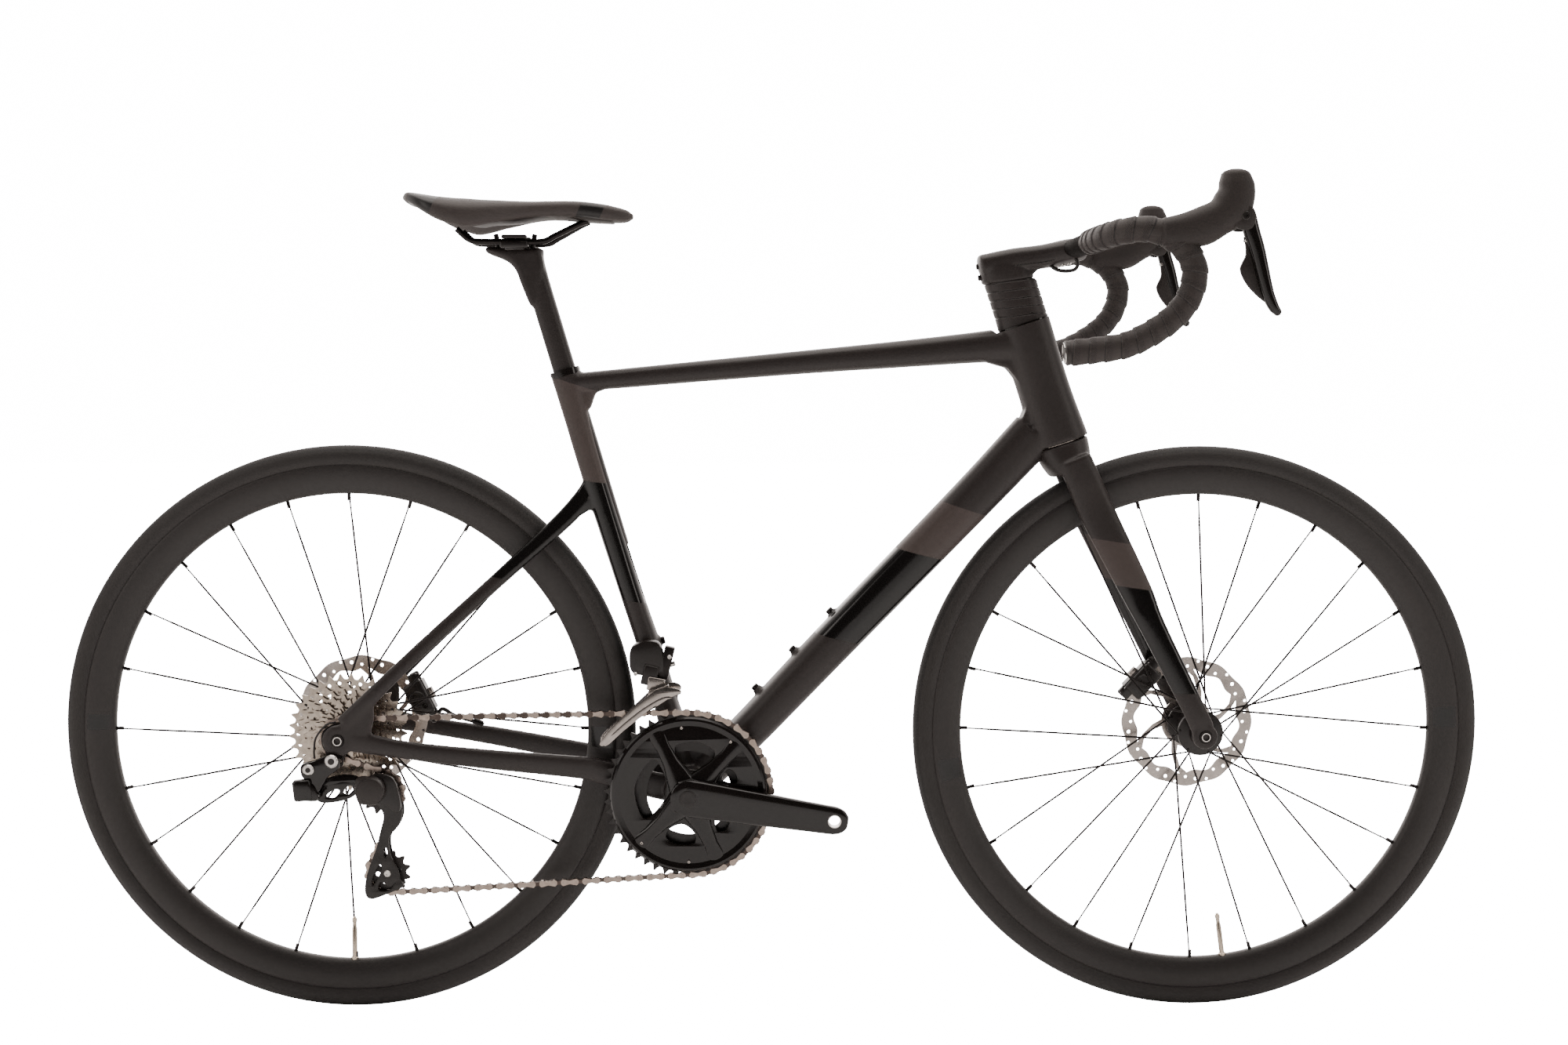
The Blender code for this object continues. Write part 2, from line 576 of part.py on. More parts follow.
def make_axle(name, centre, half, cap_right, cap_left):
    """Through axle with the hub's two end caps, which stand still in the dropouts."""
    shaft = cylinder(centre + Vector((0, -half, 0)), centre + Vector((0, half, 0)), 0.0060, 10)
    caps = []
    for side, face in ((-1, cap_right), (1, cap_left)):
        caps.append(cylinder(centre + Vector((0, (face - 0.0035) * side, 0)),
                             centre + Vector((0, face * side, 0)), 0.0095, 10))
    piece(name, joined(shaft, *caps), "alloy")


# ---------------------------------------------------------------- brakes
def make_caliper(prefix, disc, corner_low, corner_high, tilt):
    """Flat-mount caliper over the disc, with its slot and its two pads."""
    centre = (Vector(corner_low) + Vector(corner_high)) / 2.0
    body = block(corner_low, corner_high)
    spin = Matrix.Translation(centre) @ Matrix.Rotation(tilt, 4, "Y") @ Matrix.Translation(-centre)
    body.transform(spin)
    slot = cylinder(disc + Vector((0, -0.0052, 0)), disc + Vector((0, 0.0052, 0)), 0.0830, 48)
    piece(prefix + "_brake_caliper", cut(body, slot), "alloy")
    middle = disc + (centre - disc).normalized() * 0.0715
    for side, word in ((-1, "right"), (1, "left")):
        low = Vector((middle.x - 0.009, disc.y + side * 0.0014, middle.z - 0.007))
        high = Vector((middle.x + 0.009, disc.y + side * 0.0046, middle.z + 0.007))
        if side < 0:
            low.y, high.y = high.y, low.y
        pad = block(low, high)
        turn = Matrix.Translation(middle) @ Matrix.Rotation(tilt, 4, "Y") @ Matrix.Translation(-middle)
        pad.transform(turn)
        piece("%s_brake_pad_%s" % (prefix, word), pad, "steel", origin=middle)


# ---------------------------------------------------------------- drive train
def toothed_disc(teeth, centre, thickness, bore, sharp=0.0028):
    """Sprocket: a disc with one point for each tooth, and a plain bore."""
    radius = pitch_radius(teeth)
    outer = []
    inner = []
    for index in range(teeth * 2):
        phase = math.pi * index / teeth
        reach = radius + sharp if index % 2 else radius - 0.0036
        outer.append((reach * math.cos(phase), reach * math.sin(phase)))
        inner.append((bore * math.cos(phase), bore * math.sin(phase)))
    rings = []
    for outline, side in ((outer, -1), (outer, 1), (inner, 1), (inner, -1)):
        ring = [centre + Vector((x, side * thickness / 2.0, z)) for x, z in outline]
        rings.append(ring)
    return loft(rings, closed=True)


def make_cassette():
    """Twelve sprockets turned as one stepped block, with the chain's sprocket toothed."""
    profile = [(0.0178, FIRST_COG_Y - 0.0012)]
    for index, teeth in enumerate(COG_TEETH):
        y = FIRST_COG_Y + index * COG_SPACING
        tip = pitch_radius(teeth) + (0.0005 if index == CHAIN_COG else 0.0020)
        root = tip - 0.0050
        profile += [(tip, y - 0.0007), (tip, y + 0.0007)]
        if index < len(COG_TEETH) - 1:
            root = min(root, pitch_radius(COG_TEETH[index]) - 0.0042)
            root = max(root, 0.0183)
            profile += [(root, y + 0.0007), (root, y + COG_SPACING - 0.0007)]
    profile.append((0.0178, profile[-1][1]))
    clean = [profile[0]]
    for point in profile[1:]:
        if (Vector(point) - Vector(clean[-1])).length > 0.0001:
            clean.append(point)
    piece("cassette", turned(clean, REAR, 18), "steel", origin=REAR)
    body = ((0.0130, -0.0660), (0.0174, -0.0660), (0.0174, -0.0245), (0.0130, -0.0245))
    piece("freehub_body", turned(body, REAR, 16), "alloy", origin=REAR)


def make_cranks():
    pedal = BB + CRANK_LENGTH * Vector((math.cos(CRANK_DROP), 0.0, -math.sin(CRANK_DROP)))
    down = -math.degrees(CRANK_DROP)

    def along(distance, flip):
        return BB + flip * (pedal - BB) * distance / CRANK_LENGTH

    for side, flip, name in ((-1, 1, "crank_arm_right"), (1, -1, "crank_arm_left")):
        rings = []
        for distance, depth, width, y in ((-0.004, 0.042, 0.018, 0.0640), (0.030, 0.042, 0.016, 0.0670),
                                          (0.090, 0.038, 0.014, 0.0710), (0.150, 0.034, 0.012, 0.0740),
                                          (0.176, 0.032, 0.012, 0.0740), (0.1885, 0.018, 0.012, 0.0740)):
            at = along(distance, flip)
            rings.append(rib(at.x, at.z, down, depth, width, y=y * side))
        arm = loft(rings)
        hub_start = 0.0560 if side > 0 else 0.0500
        hub = cylinder(BB + Vector((0, hub_start * side, 0)), BB + Vector((0, 0.0730 * side, 0)),
                       0.0200, 16)
        parts = [hub]
        if side < 0:
            star = []
            for index in range(4):
                phase = math.radians(45.0 + 90.0 * index) - CRANK_DROP
                for radius, swing in ((0.0610, -0.10), (0.0610, 0.10), (0.0240, 0.55), (0.0240, 1.02)):
                    star.append((BB.x + radius * math.cos(phase + swing),
                                 BB.z + radius * math.sin(phase + swing)))
            parts.append(plate(star, -0.05135, 0.0063))
            parts.append(cylinder(BB + Vector((0, -0.0600, 0)), BB + Vector((0, 0.0545, 0)), 0.0144, 16))
        end = along(CRANK_LENGTH, flip)
        hole = cylinder(end + Vector((0, 0.05 * side, 0)), end + Vector((0, 0.10 * side, 0)), 0.0070, 12)
        piece(name, cut(joined(arm, *parts), hole), "gloss", origin=BB)
    big = BB + Vector((0, RING_Y, 0))
    small = BB + Vector((0, RING_Y + 0.0076, 0))
    piece("chainring_outer", toothed_disc(RING_TEETH, big, 0.0014, 0.0560), "alloy", origin=BB)
    piece("chainring_inner", toothed_disc(SMALL_RING_TEETH, small, 0.0014, 0.0480), "alloy", origin=BB)


def belt_path(circles, step=0.30, straight=0.10):
    """Closed path round circles (centre, radius, turn); turn is +1 or -1. A run stays in its
    circle's plane for the `straight` share of its length. Returns the path and where runs start."""
    tangents = []
    count = len(circles)
    for index in range(count):
        c1, r1, s1 = circles[index]
        c2, r2, s2 = circles[(index + 1) % count]
        gap = Vector((c2.x - c1.x, c2.z - c1.z))
        distance = gap.length
        heading = math.atan2(gap.y, gap.x)
        swing = math.asin((s1 * r1 - s2 * r2) / distance)
        angle = heading + swing
        normal = Vector((math.sin(angle), -math.cos(angle)))
        leave = Vector((c1.x, c1.z)) + normal * (s1 * r1)
        arrive = Vector((c2.x, c2.z)) + normal * (s2 * r2)
        tangents.append((leave, arrive))
    path = []
    runs = []
    for index in range(count):
        centre, radius, turn = circles[index]
        arrive = tangents[index - 1][1]
        leave = tangents[index][0]
        a = math.atan2(arrive.y - centre.z, arrive.x - centre.x)
        b = math.atan2(leave.y - centre.z, leave.x - centre.x)
        sweep = (b - a) % (2.0 * math.pi) if turn > 0 else -((a - b) % (2.0 * math.pi))
        pieces = max(2, round(abs(sweep) / step))
        before = tangents[index - 1][0].lerp(arrive, 1.0 - straight)
        beyond = leave.lerp(tangents[index][1], straight)
        path.append(Vector((before.x, centre.y, before.y)))
        for part in range(pieces + 1):
            phase = a + sweep * part / pieces
            path.append(Vector((centre.x + radius * math.cos(phase), centre.y,
                                centre.z + radius * math.sin(phase))))
        path.append(Vector((beyond.x, centre.y, beyond.y)))
        runs.append(len(path) - 1)
    return path, runs


def make_chain():
    """Chain as its two rows of side plates, pinned together along the free runs."""
    big = BB + Vector((0, RING_Y, 0))
    cog = REAR + Vector((0, COG_Y, 0))
    circles = [(big, pitch_radius(RING_TEETH), 1), (cog, pitch_radius(COG_TEETH[CHAIN_COG]), 1),
               (GUIDE, pitch_radius(PULLEY_TEETH), -1), (TENSION, pitch_radius(PULLEY_TEETH), 1)]
    path, runs = belt_path(circles)
    count = len(path)
    rows = []
    for side in (-1, 1):
        rings = []
        for index in range(count):
            before = path[index - 1]
            after = path[(index + 1) % count]
            tangent = (after - before).normalized()
            out = Vector((tangent.z, 0.0, -tangent.x)).normalized()
            ring = []
            for reach, offset in ((-0.0036, 0.00115), (0.0036, 0.00115), (0.0036, 0.0024), (-0.0036, 0.0024)):
                ring.append(path[index] + out * reach + Vector((0, offset * side, 0)))
            rings.append(ring)
        rows.append(loft(rings, closed=True))
    pins = []
    for run in (runs[0], runs[-1]):
        start = path[run]
        end = path[(run + 1) % count]
        for fraction in (0.25, 0.5, 0.75):
            place = start.lerp(end, fraction)
            pins.append(cylinder(place + Vector((0, -0.0018, 0)), place + Vector((0, 0.0018, 0)), 0.0024, 8))
    piece("chain", joined(rows[0], pins[0], rows[1], *pins[1:]), "chain")


def make_rear_mech():
    y = COG_Y
    upper = plate(((-0.5450, 0.3130), (-0.5150, 0.3190), (-0.5030, 0.3140), (-0.5160, 0.2960),
                   (-0.5240, 0.2860), (-0.5330, 0.2700), (-0.5540, 0.2700), (-0.5560, 0.2930)),
                  -0.0828, 0.0184)
    piece("rear_mech_upper_knuckle", upper, "gloss")
    link = loft([rib(-0.5335, 0.2825, 5.0, 0.014, 0.0056, y=-0.0680, sides=8),
                 rib(-0.5100, 0.2860, 8.0, 0.014, 0.006, y=-0.0683, sides=8),
                 rib(-0.4865, 0.2865, 0.0, 0.013, 0.006, y=-0.0690, sides=8)])
    piece("rear_mech_link", link, "gloss", origin=LINK_FOOT)
    knuckle = cylinder(Vector((CAGE_PIVOT.x, -0.0905, CAGE_PIVOT.z)),
                       Vector((CAGE_PIVOT.x, -0.0740, CAGE_PIVOT.z)), 0.0160, 16)
    piece("rear_mech_lower_knuckle", knuckle, "plastic", origin=LINK_END)
    outline = ((-0.4560, 0.2985), (-0.4390, 0.2925), (-0.4340, 0.2700), (-0.4345, 0.2480), (-0.4440, 0.2240),
               (-0.4390, 0.2010), (-0.4310, 0.1780), (-0.4340, 0.1640), (-0.4690, 0.1500), (-0.4785, 0.1550),
               (-0.4775, 0.1790), (-0.4640, 0.2170), (-0.4600, 0.2450), (-0.4820, 0.2700), (-0.4810, 0.2900))
    plates = [plate(outline, y - 0.0070, 0.0025), plate(outline, y + 0.0058, 0.0016)]
    pins = []
    for centre in (GUIDE, TENSION):
        pins.append(cylinder(Vector((centre.x, y - 0.0070, centre.z)),
                             Vector((centre.x, y + 0.0058, centre.z)),
                             0.0030, 8))
    piece("rear_mech_cage", joined(plates[0], pins[0], plates[1], pins[1]), "gloss", origin=CAGE_PIVOT)
    for name, centre in (("guide_pulley", GUIDE), ("tension_pulley", TENSION)):
        wheel = toothed_disc(PULLEY_TEETH, Vector((centre.x, y, centre.z)), 0.0014, 0.0034, 0.0012)
        piece(name, wheel, "plastic", origin=centre)


def make_front_mech():
    body = block((-0.1700, -0.0350, 0.4080), (-0.1270, -0.0204, 0.4480))
    piece("front_mech_body", body, "plastic")
    outer = plate(((-0.2050, 0.3440), (-0.1650, 0.3770), (-0.1290, 0.3980), (-0.1090, 0.3980),
                   (-0.1090, 0.3800), (-0.1500, 0.3605), (-0.1980, 0.3260)), -0.0552, 0.0016)
    inner = plate(((-0.2050, 0.3420), (-0.1650, 0.3760), (-0.1290, 0.4020), (-0.1090, 0.4020),
                   (-0.1090, 0.3720), (-0.1500, 0.3500), (-0.1980, 0.3180)), -0.0410, 0.0016)
    bridge = plate(((-0.1500, 0.3880), (-0.1290, 0.3958), (-0.1200, 0.3958), (-0.1500, 0.3830)),
                   -0.0481, 0.0156)
    tail = plate(((-0.2045, 0.3400), (-0.2020, 0.3400), (-0.1965, 0.3260), (-0.1985, 0.3245)),
                 -0.0481, 0.0156)
    arm = plate(((-0.1500, 0.3900), (-0.1500, 0.4060), (-0.1300, 0.4060), (-0.1300, 0.3900)), -0.0385, 0.0060)
    cage = joined(outer, bridge, inner, tail, arm)
    piece("front_mech_cage", cage, "silver", origin=Vector((-0.1400, -0.0470, 0.4200)))


# ---------------------------------------------------------------- seat
def make_seatpost():
    bottom = 0.3000
    column = loft([seat_rib(bottom, POST_DEPTH, POST_WIDTH), seat_rib(0.600, POST_DEPTH, POST_WIDTH),
                   seat_rib(0.650, POST_DEPTH, POST_WIDTH), seat_rib(0.668, 0.034, 0.024)])
    head = loft([rib(-0.3370, 0.9045, 0.0, 0.008, 0.020), rib(-0.3200, 0.9010, 0.0, 0.016, 0.024),
                 rib(-0.2980, 0.8960, 0.0, 0.026, 0.024), rib(-0.2790, 0.9000, 0.0, 0.018, 0.024)])
    cradle = block((-0.3270, -0.0270, 0.9060), (-0.2870, 0.0270, 0.9285))
    rail_slots = [swept(rail_path(side), 0.0040, 10) for side in (-1, 1)]
    piece("seatpost", cut(joined(column, head, cradle), *rail_slots), "frame")


RAIL_RADIUS = 0.0035


def rail_path(side):
    route = ((-0.3700, 0.0240, 0.9300), (-0.3560, 0.0225, 0.9175), (-0.3420, 0.0220, 0.9155),
             (-0.3100, 0.0220, 0.9155), (-0.2720, 0.0220, 0.9155), (-0.2560, 0.0205, 0.9225),
             (-0.2300, 0.0130, 0.9360))
    return smooth_path([(x, y * side, z) for x, y, z in route], 2)


def make_saddle():
    nose = Vector((-0.2180, 0.0, 0.9385))
    whole = rail_path(-1) + [nose] + list(reversed(rail_path(1)))
    piece("saddle_rails", swept(whole, RAIL_RADIUS, 6), "steel")
    base = [rib(-0.3950, 0.9480, 0.0, 0.004, 0.080), rib(-0.3900, 0.9465, 0.0, 0.014, 0.108),
            rib(-0.3450, 0.9455, 0.0, 0.012, 0.116), rib(-0.2900, 0.9470, 0.0, 0.010, 0.066),
            rib(-0.2350, 0.9470, 0.0, 0.0100, 0.042), rib(-0.1860, 0.9430, 0.0, 0.010, 0.030),
            rib(-0.1810, 0.9425, 0.0, 0.004, 0.022)]
    shell = loft(base)
    groove = swept(whole, RAIL_RADIUS + 0.0008, 6)
    piece("saddle_shell", cut(shell, groove), "plastic")
    pad = loft([rib(-0.4305, 0.9640, 0.0, 0.008, 0.050), rib(-0.4230, 0.9605, 0.0, 0.022, 0.100),
                rib(-0.3950, 0.9560, 0.0, 0.028, 0.138), rib(-0.3450, 0.9540, 0.0, 0.026, 0.138),
                rib(-0.2900, 0.9560, 0.0, 0.022, 0.092), rib(-0.2350, 0.9560, 0.0, 0.022, 0.058),
                rib(-0.1900, 0.9490, 0.0, 0.022, 0.044), rib(-0.1690, 0.9430, 0.0, 0.012, 0.026)])
    pocket = loft([rib(-0.4000, 0.9440, 0.0, 0.026, 0.122, square=8),
                   rib(-0.3450, 0.9410, 0.0, 0.026, 0.126, square=8),
                   rib(-0.2900, 0.9420, 0.0, 0.024, 0.078, square=8),
                   rib(-0.2350, 0.9425, 0.0, 0.023, 0.050, square=8),
                   rib(-0.1780, 0.9380, 0.0, 0.026, 0.038, square=8)])
    piece("saddle_pad", cut(pad, pocket), "grip")


# ---------------------------------------------------------------- hoses
def make_hose(name, route, radius):
    path = smooth_path(route, 4)
    curve = bpy.data.curves.new(name, "CURVE")
    curve.dimensions = "3D"
    curve.bevel_depth = radius
    curve.bevel_resolution = 2
    curve.use_fill_caps = True
    spline = curve.splines.new("POLY")
    spline.points.add(len(path) - 1)
    for point, place in zip(spline.points, path):
        point.co = (*place, 1.0)
    curve.materials.append(material("rubber"))
    made = bpy.data.objects.new(name, curve)
    bpy.context.collection.objects.link(made)


# ---------------------------------------------------------------- assembly
make_main_frame()
make_rear_stays(-1, "right_rear_stays")
make_rear_stays(1, "left_rear_stays")
make_hanger()
make_bearings()
make_fork()
make_spacers_and_stem()
make_handlebar()
for hand, word in ((-1, "right"), (1, "left")):
    make_bar_tape(hand, "bar_tape_" + word)
    make_lever_group(hand, word)
make_wheel("front", FRONT, 0.0470, 0.0240, -0.0330, 0.0395, 0.0130)
make_wheel("rear", REAR, 0.0200, 0.0330, -0.0160, 0.0555, 0.0150)
make_axle("front_axle", FRONT, 0.0605, 0.0508, 0.0508)
make_axle("rear_axle", REAR, 0.0800, 0.0685, 0.0718)
make_caliper("front", FRONT + Vector((0, 0.0395, 0)), (0.4320, 0.0280, 0.3620), (0.4560, 0.0500, 0.4280),
             math.radians(-27.0))
make_caliper("rear", REAR + Vector((0, 0.0555, 0)), (-0.4640, 0.0440, 0.3540), (-0.4000, 0.0660, 0.3800),
             math.radians(8.0))
make_cassette()
make_cranks()
make_chain()
make_rear_mech()
make_front_mech()
make_seatpost()
make_saddle()
make_hose("rear_brake_hose", ((-0.3985, 0.0550, 0.3670), (-0.3850, 0.0552, 0.3600), (-0.3700, 0.0560, 0.3450),
                              (-0.3560, 0.0580, 0.3330)), 0.0025)
make_hose("rear_mech_wire", ((-0.5080, -0.0735, 0.3600), (-0.5200, -0.0745, 0.3560),
                             (-0.5310, -0.0760, 0.3420),
                             (-0.5330, -0.0780, 0.3270), (-0.5320, -0.0800, 0.3200)), 0.0012)
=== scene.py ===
# %% [markdown]
# # A road bicycle, piece by piece
# The solid model already says where every piece of the bicycle is and how it moves. This lesson
# gives those pieces their finished shapes and surfaces. It first loads the solids.

# %% Load the solid model
import json
import math

import bmesh
import bpy
from mathutils import Matrix, Vector


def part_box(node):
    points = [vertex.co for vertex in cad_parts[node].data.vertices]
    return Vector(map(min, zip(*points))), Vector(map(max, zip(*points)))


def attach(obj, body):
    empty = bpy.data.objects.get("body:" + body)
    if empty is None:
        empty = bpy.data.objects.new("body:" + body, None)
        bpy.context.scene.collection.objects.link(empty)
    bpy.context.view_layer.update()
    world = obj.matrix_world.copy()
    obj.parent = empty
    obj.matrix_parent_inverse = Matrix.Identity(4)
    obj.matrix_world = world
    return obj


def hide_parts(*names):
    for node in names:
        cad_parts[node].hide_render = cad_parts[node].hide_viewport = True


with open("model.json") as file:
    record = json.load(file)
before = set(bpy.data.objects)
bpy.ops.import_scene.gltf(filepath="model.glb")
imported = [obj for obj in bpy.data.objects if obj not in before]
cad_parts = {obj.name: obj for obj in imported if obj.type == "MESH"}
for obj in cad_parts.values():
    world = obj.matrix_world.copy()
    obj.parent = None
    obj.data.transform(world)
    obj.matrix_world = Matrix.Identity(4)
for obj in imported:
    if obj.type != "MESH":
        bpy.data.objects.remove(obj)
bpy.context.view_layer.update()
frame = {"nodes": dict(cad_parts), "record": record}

# %% [markdown]
# ## Camera
# A side view from a little over two metres away, slightly above the middle of the bicycle and
# looking a few degrees down. A real camera at that distance shows some perspective, so the far
# half of the handlebar sits lower and smaller than the near half.

# %% Put up the camera
CAMERA_AT = (-0.0149, -2.2139, 0.7600)
LENS = 42.82
YAW = math.radians(0.672)
DOWN = math.radians(4.487)
ROLL = math.radians(0.092)

lens = bpy.data.cameras.new("camera")
lens.lens = LENS
lens.sensor_width = 36.0
camera = bpy.data.objects.new("camera", lens)
camera.matrix_world = (Matrix.Translation(CAMERA_AT) @ Matrix.Rotation(-YAW, 4, "Z")
                       @ Matrix.Rotation(math.pi / 2 - DOWN, 4, "X") @ Matrix.Rotation(ROLL, 4, "Z"))
bpy.context.collection.objects.link(camera)
bpy.context.scene.camera = camera
print("camera", LENS, "mm lens")

# %% [markdown]
# ## Light and floor
# A studio lights a dark bicycle from large white panels, because dark lacquer shows mostly what it
# reflects. Two big side panels, one overhead and one behind give the long soft highlights along
# the tubes, and a white world fills the rest. The floor is plain and pale.

# %% Light the studio
def panel(name, at, size, power, look_at=(0.0, 0.0, 0.5)):
    """Rectangular area light that faces a point."""
    light = bpy.data.lights.new(name, "AREA")
    light.shape = "RECTANGLE"
    light.size, light.size_y = size
    light.energy = power
    light.color = (1.0, 0.93, 0.88)
    made = bpy.data.objects.new(name, light)
    made.location = at
    made.rotation_euler = (Vector(look_at) - Vector(at)).to_track_quat("-Z", "Y").to_euler()
    bpy.context.collection.objects.link(made)


panel("overhead", (0.0, -0.2, 3.2), (3.5, 2.0), 60.0)
panel("front_left", (-3.0, -2.0, 1.7), (1.0, 2.4), 22.0)
panel("front_right", (3.0, -2.0, 1.8), (1.0, 2.4), 22.0)
panel("behind", (0.0, 2.6, 1.5), (4.5, 2.0), 40.0)

IN_FRONT, BEHIND = 0.06, 3.00
BACKGROUND = 16.0
world = bpy.data.worlds.new("studio")
world.use_nodes = True
sky = world.node_tree
rays = sky.nodes.new("ShaderNodeLightPath")
direction = sky.nodes.new("ShaderNodeTexCoord")
split = sky.nodes.new("ShaderNodeSeparateXYZ")
surround = sky.nodes.new("ShaderNodeMapRange")
strength = sky.nodes.new("ShaderNodeMapRange")
sky.links.new(direction.outputs["Generated"], split.inputs[0])
sky.links.new(split.outputs["Y"], surround.inputs["Value"])
surround.inputs["From Min"].default_value = -0.25
surround.inputs["From Max"].default_value = 0.95
surround.inputs["To Min"].default_value = IN_FRONT
surround.inputs["To Max"].default_value = BEHIND
sky.links.new(surround.outputs[0], strength.inputs["To Min"])
strength.inputs["To Max"].default_value = BACKGROUND
sky.links.new(rays.outputs["Is Camera Ray"], strength.inputs["Value"])
sky.links.new(strength.outputs[0], sky.nodes["Background"].inputs["Strength"])
tint = sky.nodes.new("ShaderNodeMixRGB")
tint.inputs[1].default_value = (1.0, 0.93, 0.89, 1.0)
tint.inputs[2].default_value = (1.0, 1.0, 1.0, 1.0)
sky.links.new(rays.outputs["Is Camera Ray"], tint.inputs[0])
sky.links.new(tint.outputs[0], sky.nodes["Background"].inputs["Color"])
bpy.context.scene.world = world

FLOOR_HALF = 14.0
floor_mesh = bpy.data.meshes.new("floor")
floor_mesh.from_pydata([(-FLOOR_HALF, -FLOOR_HALF, 0), (FLOOR_HALF, -FLOOR_HALF, 0),
                        (FLOOR_HALF, FLOOR_HALF, 0), (-FLOOR_HALF, FLOOR_HALF, 0)], [], [(0, 1, 2, 3)])
floor = bpy.data.objects.new("floor", floor_mesh)
bpy.context.collection.objects.link(floor)
print("studio", 2 * FLOOR_HALF, "m floor")

# %% [markdown]
# ## Writing materials as maths
# A shader is a graph of nodes, and most of its nodes do arithmetic. A small class can stand for a
# socket of the graph and overload the arithmetic signs, so that a mask is written the way it is
# thought of, such as `1 - mask * 0.5`. Every other node comes from one method of the finish.

# %% A socket that does arithmetic
class Value:
    """An output socket of a shader graph."""

    def __init__(self, finish, socket):
        self.finish = finish
        self.socket = socket

    def math(self, operation, first, second=None):
        sockets = {0: first} if second is None else {0: first, 1: second}
        return self.finish.node("ShaderNodeMath", {"operation": operation}, sockets)

    def __add__(self, other):
        return self.math("ADD", self, other)

    def __sub__(self, other):
        return self.math("SUBTRACT", self, other)

    def __rsub__(self, other):
        return self.math("SUBTRACT", other, self)

    def __mul__(self, other):
        return self.math("MULTIPLY", self, other)

    def __truediv__(self, other):
        return self.math("DIVIDE", self, other)

    __radd__ = __add__
    __rmul__ = __mul__


# %% A finish, which is a material being made
class Finish:
    """A material with one Principled shader, and the nodes that feed it."""

    def __init__(self, name, colour, rough, **constants):
        self.material = bpy.data.materials.new(name)
        self.material.use_nodes = True
        self.tree = self.material.node_tree
        self.shader = self.tree.nodes["Principled BSDF"]
        self.set("Base Color", (*colour, 1.0))
        self.set("Roughness", rough)
        for socket, value in constants.items():
            self.set(socket.replace("_", " ").title(), value)

    def put(self, value, socket):
        if isinstance(value, Value):
            self.tree.links.new(value.socket, socket)
        else:
            socket.default_value = value

    def set(self, socket, value):
        self.put(value, self.shader.inputs[socket])

    def node(self, kind, settings, values, output=0):
        made = self.tree.nodes.new(kind)
        for key, value in settings.items():
            if key == "stops":
                ramp = made.color_ramp.elements
                while len(ramp) < len(value):
                    ramp.new(0.5)
                for element, (place, colour) in zip(ramp, value):
                    element.position = place
                    element.color = (*colour, 1.0)
            else:
                setattr(made, key, value)
        for key, value in values.items():
            self.put(value, made.inputs[key])
        return Value(self, made.outputs[output])

    def place(self):
        return self.node("ShaderNodeTexCoord", {}, {}, "Object")

    def axes(self, vector):
        split = self.node("ShaderNodeSeparateXYZ", {}, {0: vector})
        outputs = split.socket.node.outputs
        return [Value(self, outputs[index]) for index in range(3)]

    def noise(self, vector, scale, detail=3.0, rough=0.5):
        return self.node("ShaderNodeTexNoise", {},
                         {"Vector": vector, "Scale": scale, "Detail": detail, "Roughness": rough}, "Fac")

    def stretched(self, vector, scale):
        return self.node("ShaderNodeMapping", {}, {"Vector": vector, "Scale": scale})

    def above(self, value, edge, soft=0.0006):
        """1 where the value is above the edge and 0 below it."""
        return self.node("ShaderNodeMapRange", {"clamp": True},
                         {"Value": value, "From Min": edge - soft, "From Max": edge + soft})

    def blend(self, mask, low, high):
        return self.node("ShaderNodeMix", {"data_type": "RGBA"},
                         {0: mask, 6: low if isinstance(low, Value) else (*low, 1.0),
                          7: high if isinstance(high, Value) else (*high, 1.0)}, 2)

    def bump(self, height, depth, strength=1.0):
        self.set("Normal", self.node("ShaderNodeBump", {},
                                     {"Height": height, "Distance": depth, "Strength": strength}))


floor_finish = Finish("pale_floor", (0.86, 0.86, 0.86), 0.9)
floor_place = floor_finish.place()
floor_finish.set("Roughness", 0.85 + floor_finish.noise(floor_place, 3.0) * 0.1)
glow = floor_finish.node("ShaderNodeLightPath", {}, {}, "Is Camera Ray") * BACKGROUND
floor_finish.set("Emission Color", glow)
floor_finish.set("Emission Strength", 1.0)
floor_mesh.materials.append(floor_finish.material)
print("finishes are ready to be written")

# %% [markdown]
# ## Frame lacquer
# The frame is carbon fibre under satin lacquer, almost black and a little warm. The seat tube, the
# down tube and the fork each carry a taupe panel that turns into a gloss black one, with a slanted
# masking line between them. All of it is one material, because the panels are only paint: masks
# made from a point's height and length choose colour and roughness. A faint grain of pigment keeps
# large surfaces from looking like plastic.

# %% Paint for the frame and the fork
SATIN = (0.0200, 0.0146, 0.0134)
GLOSS = (0.0050, 0.0042, 0.0040)
TAUPE = (0.0640, 0.0480, 0.0435)


def lacquer(name, bands):
    """Satin lacquer. bands(finish, x, z) gives the taupe mask and the gloss mask."""
    made = Finish(name, SATIN, 0.42, coat_weight=0.0)
    place = made.place()
    x, _, z = made.axes(place)
    taupe, gloss = bands(made, x, z)
    grain = made.noise(place, 900.0, 2.0)
    cloud = made.noise(place, 14.0, 2.0)
    satin = made.blend(cloud, [channel * 0.86 for channel in SATIN], [channel * 1.16 for channel in SATIN])
    colour = made.blend(taupe, satin, TAUPE)
    made.set("Base Color", made.blend(gloss, colour, GLOSS))
    made.set("Roughness", 0.40 + grain * 0.10 - gloss * 0.30 + taupe * 0.04)
    made.bump(grain * (1 - gloss), 0.00004)
    return made.material


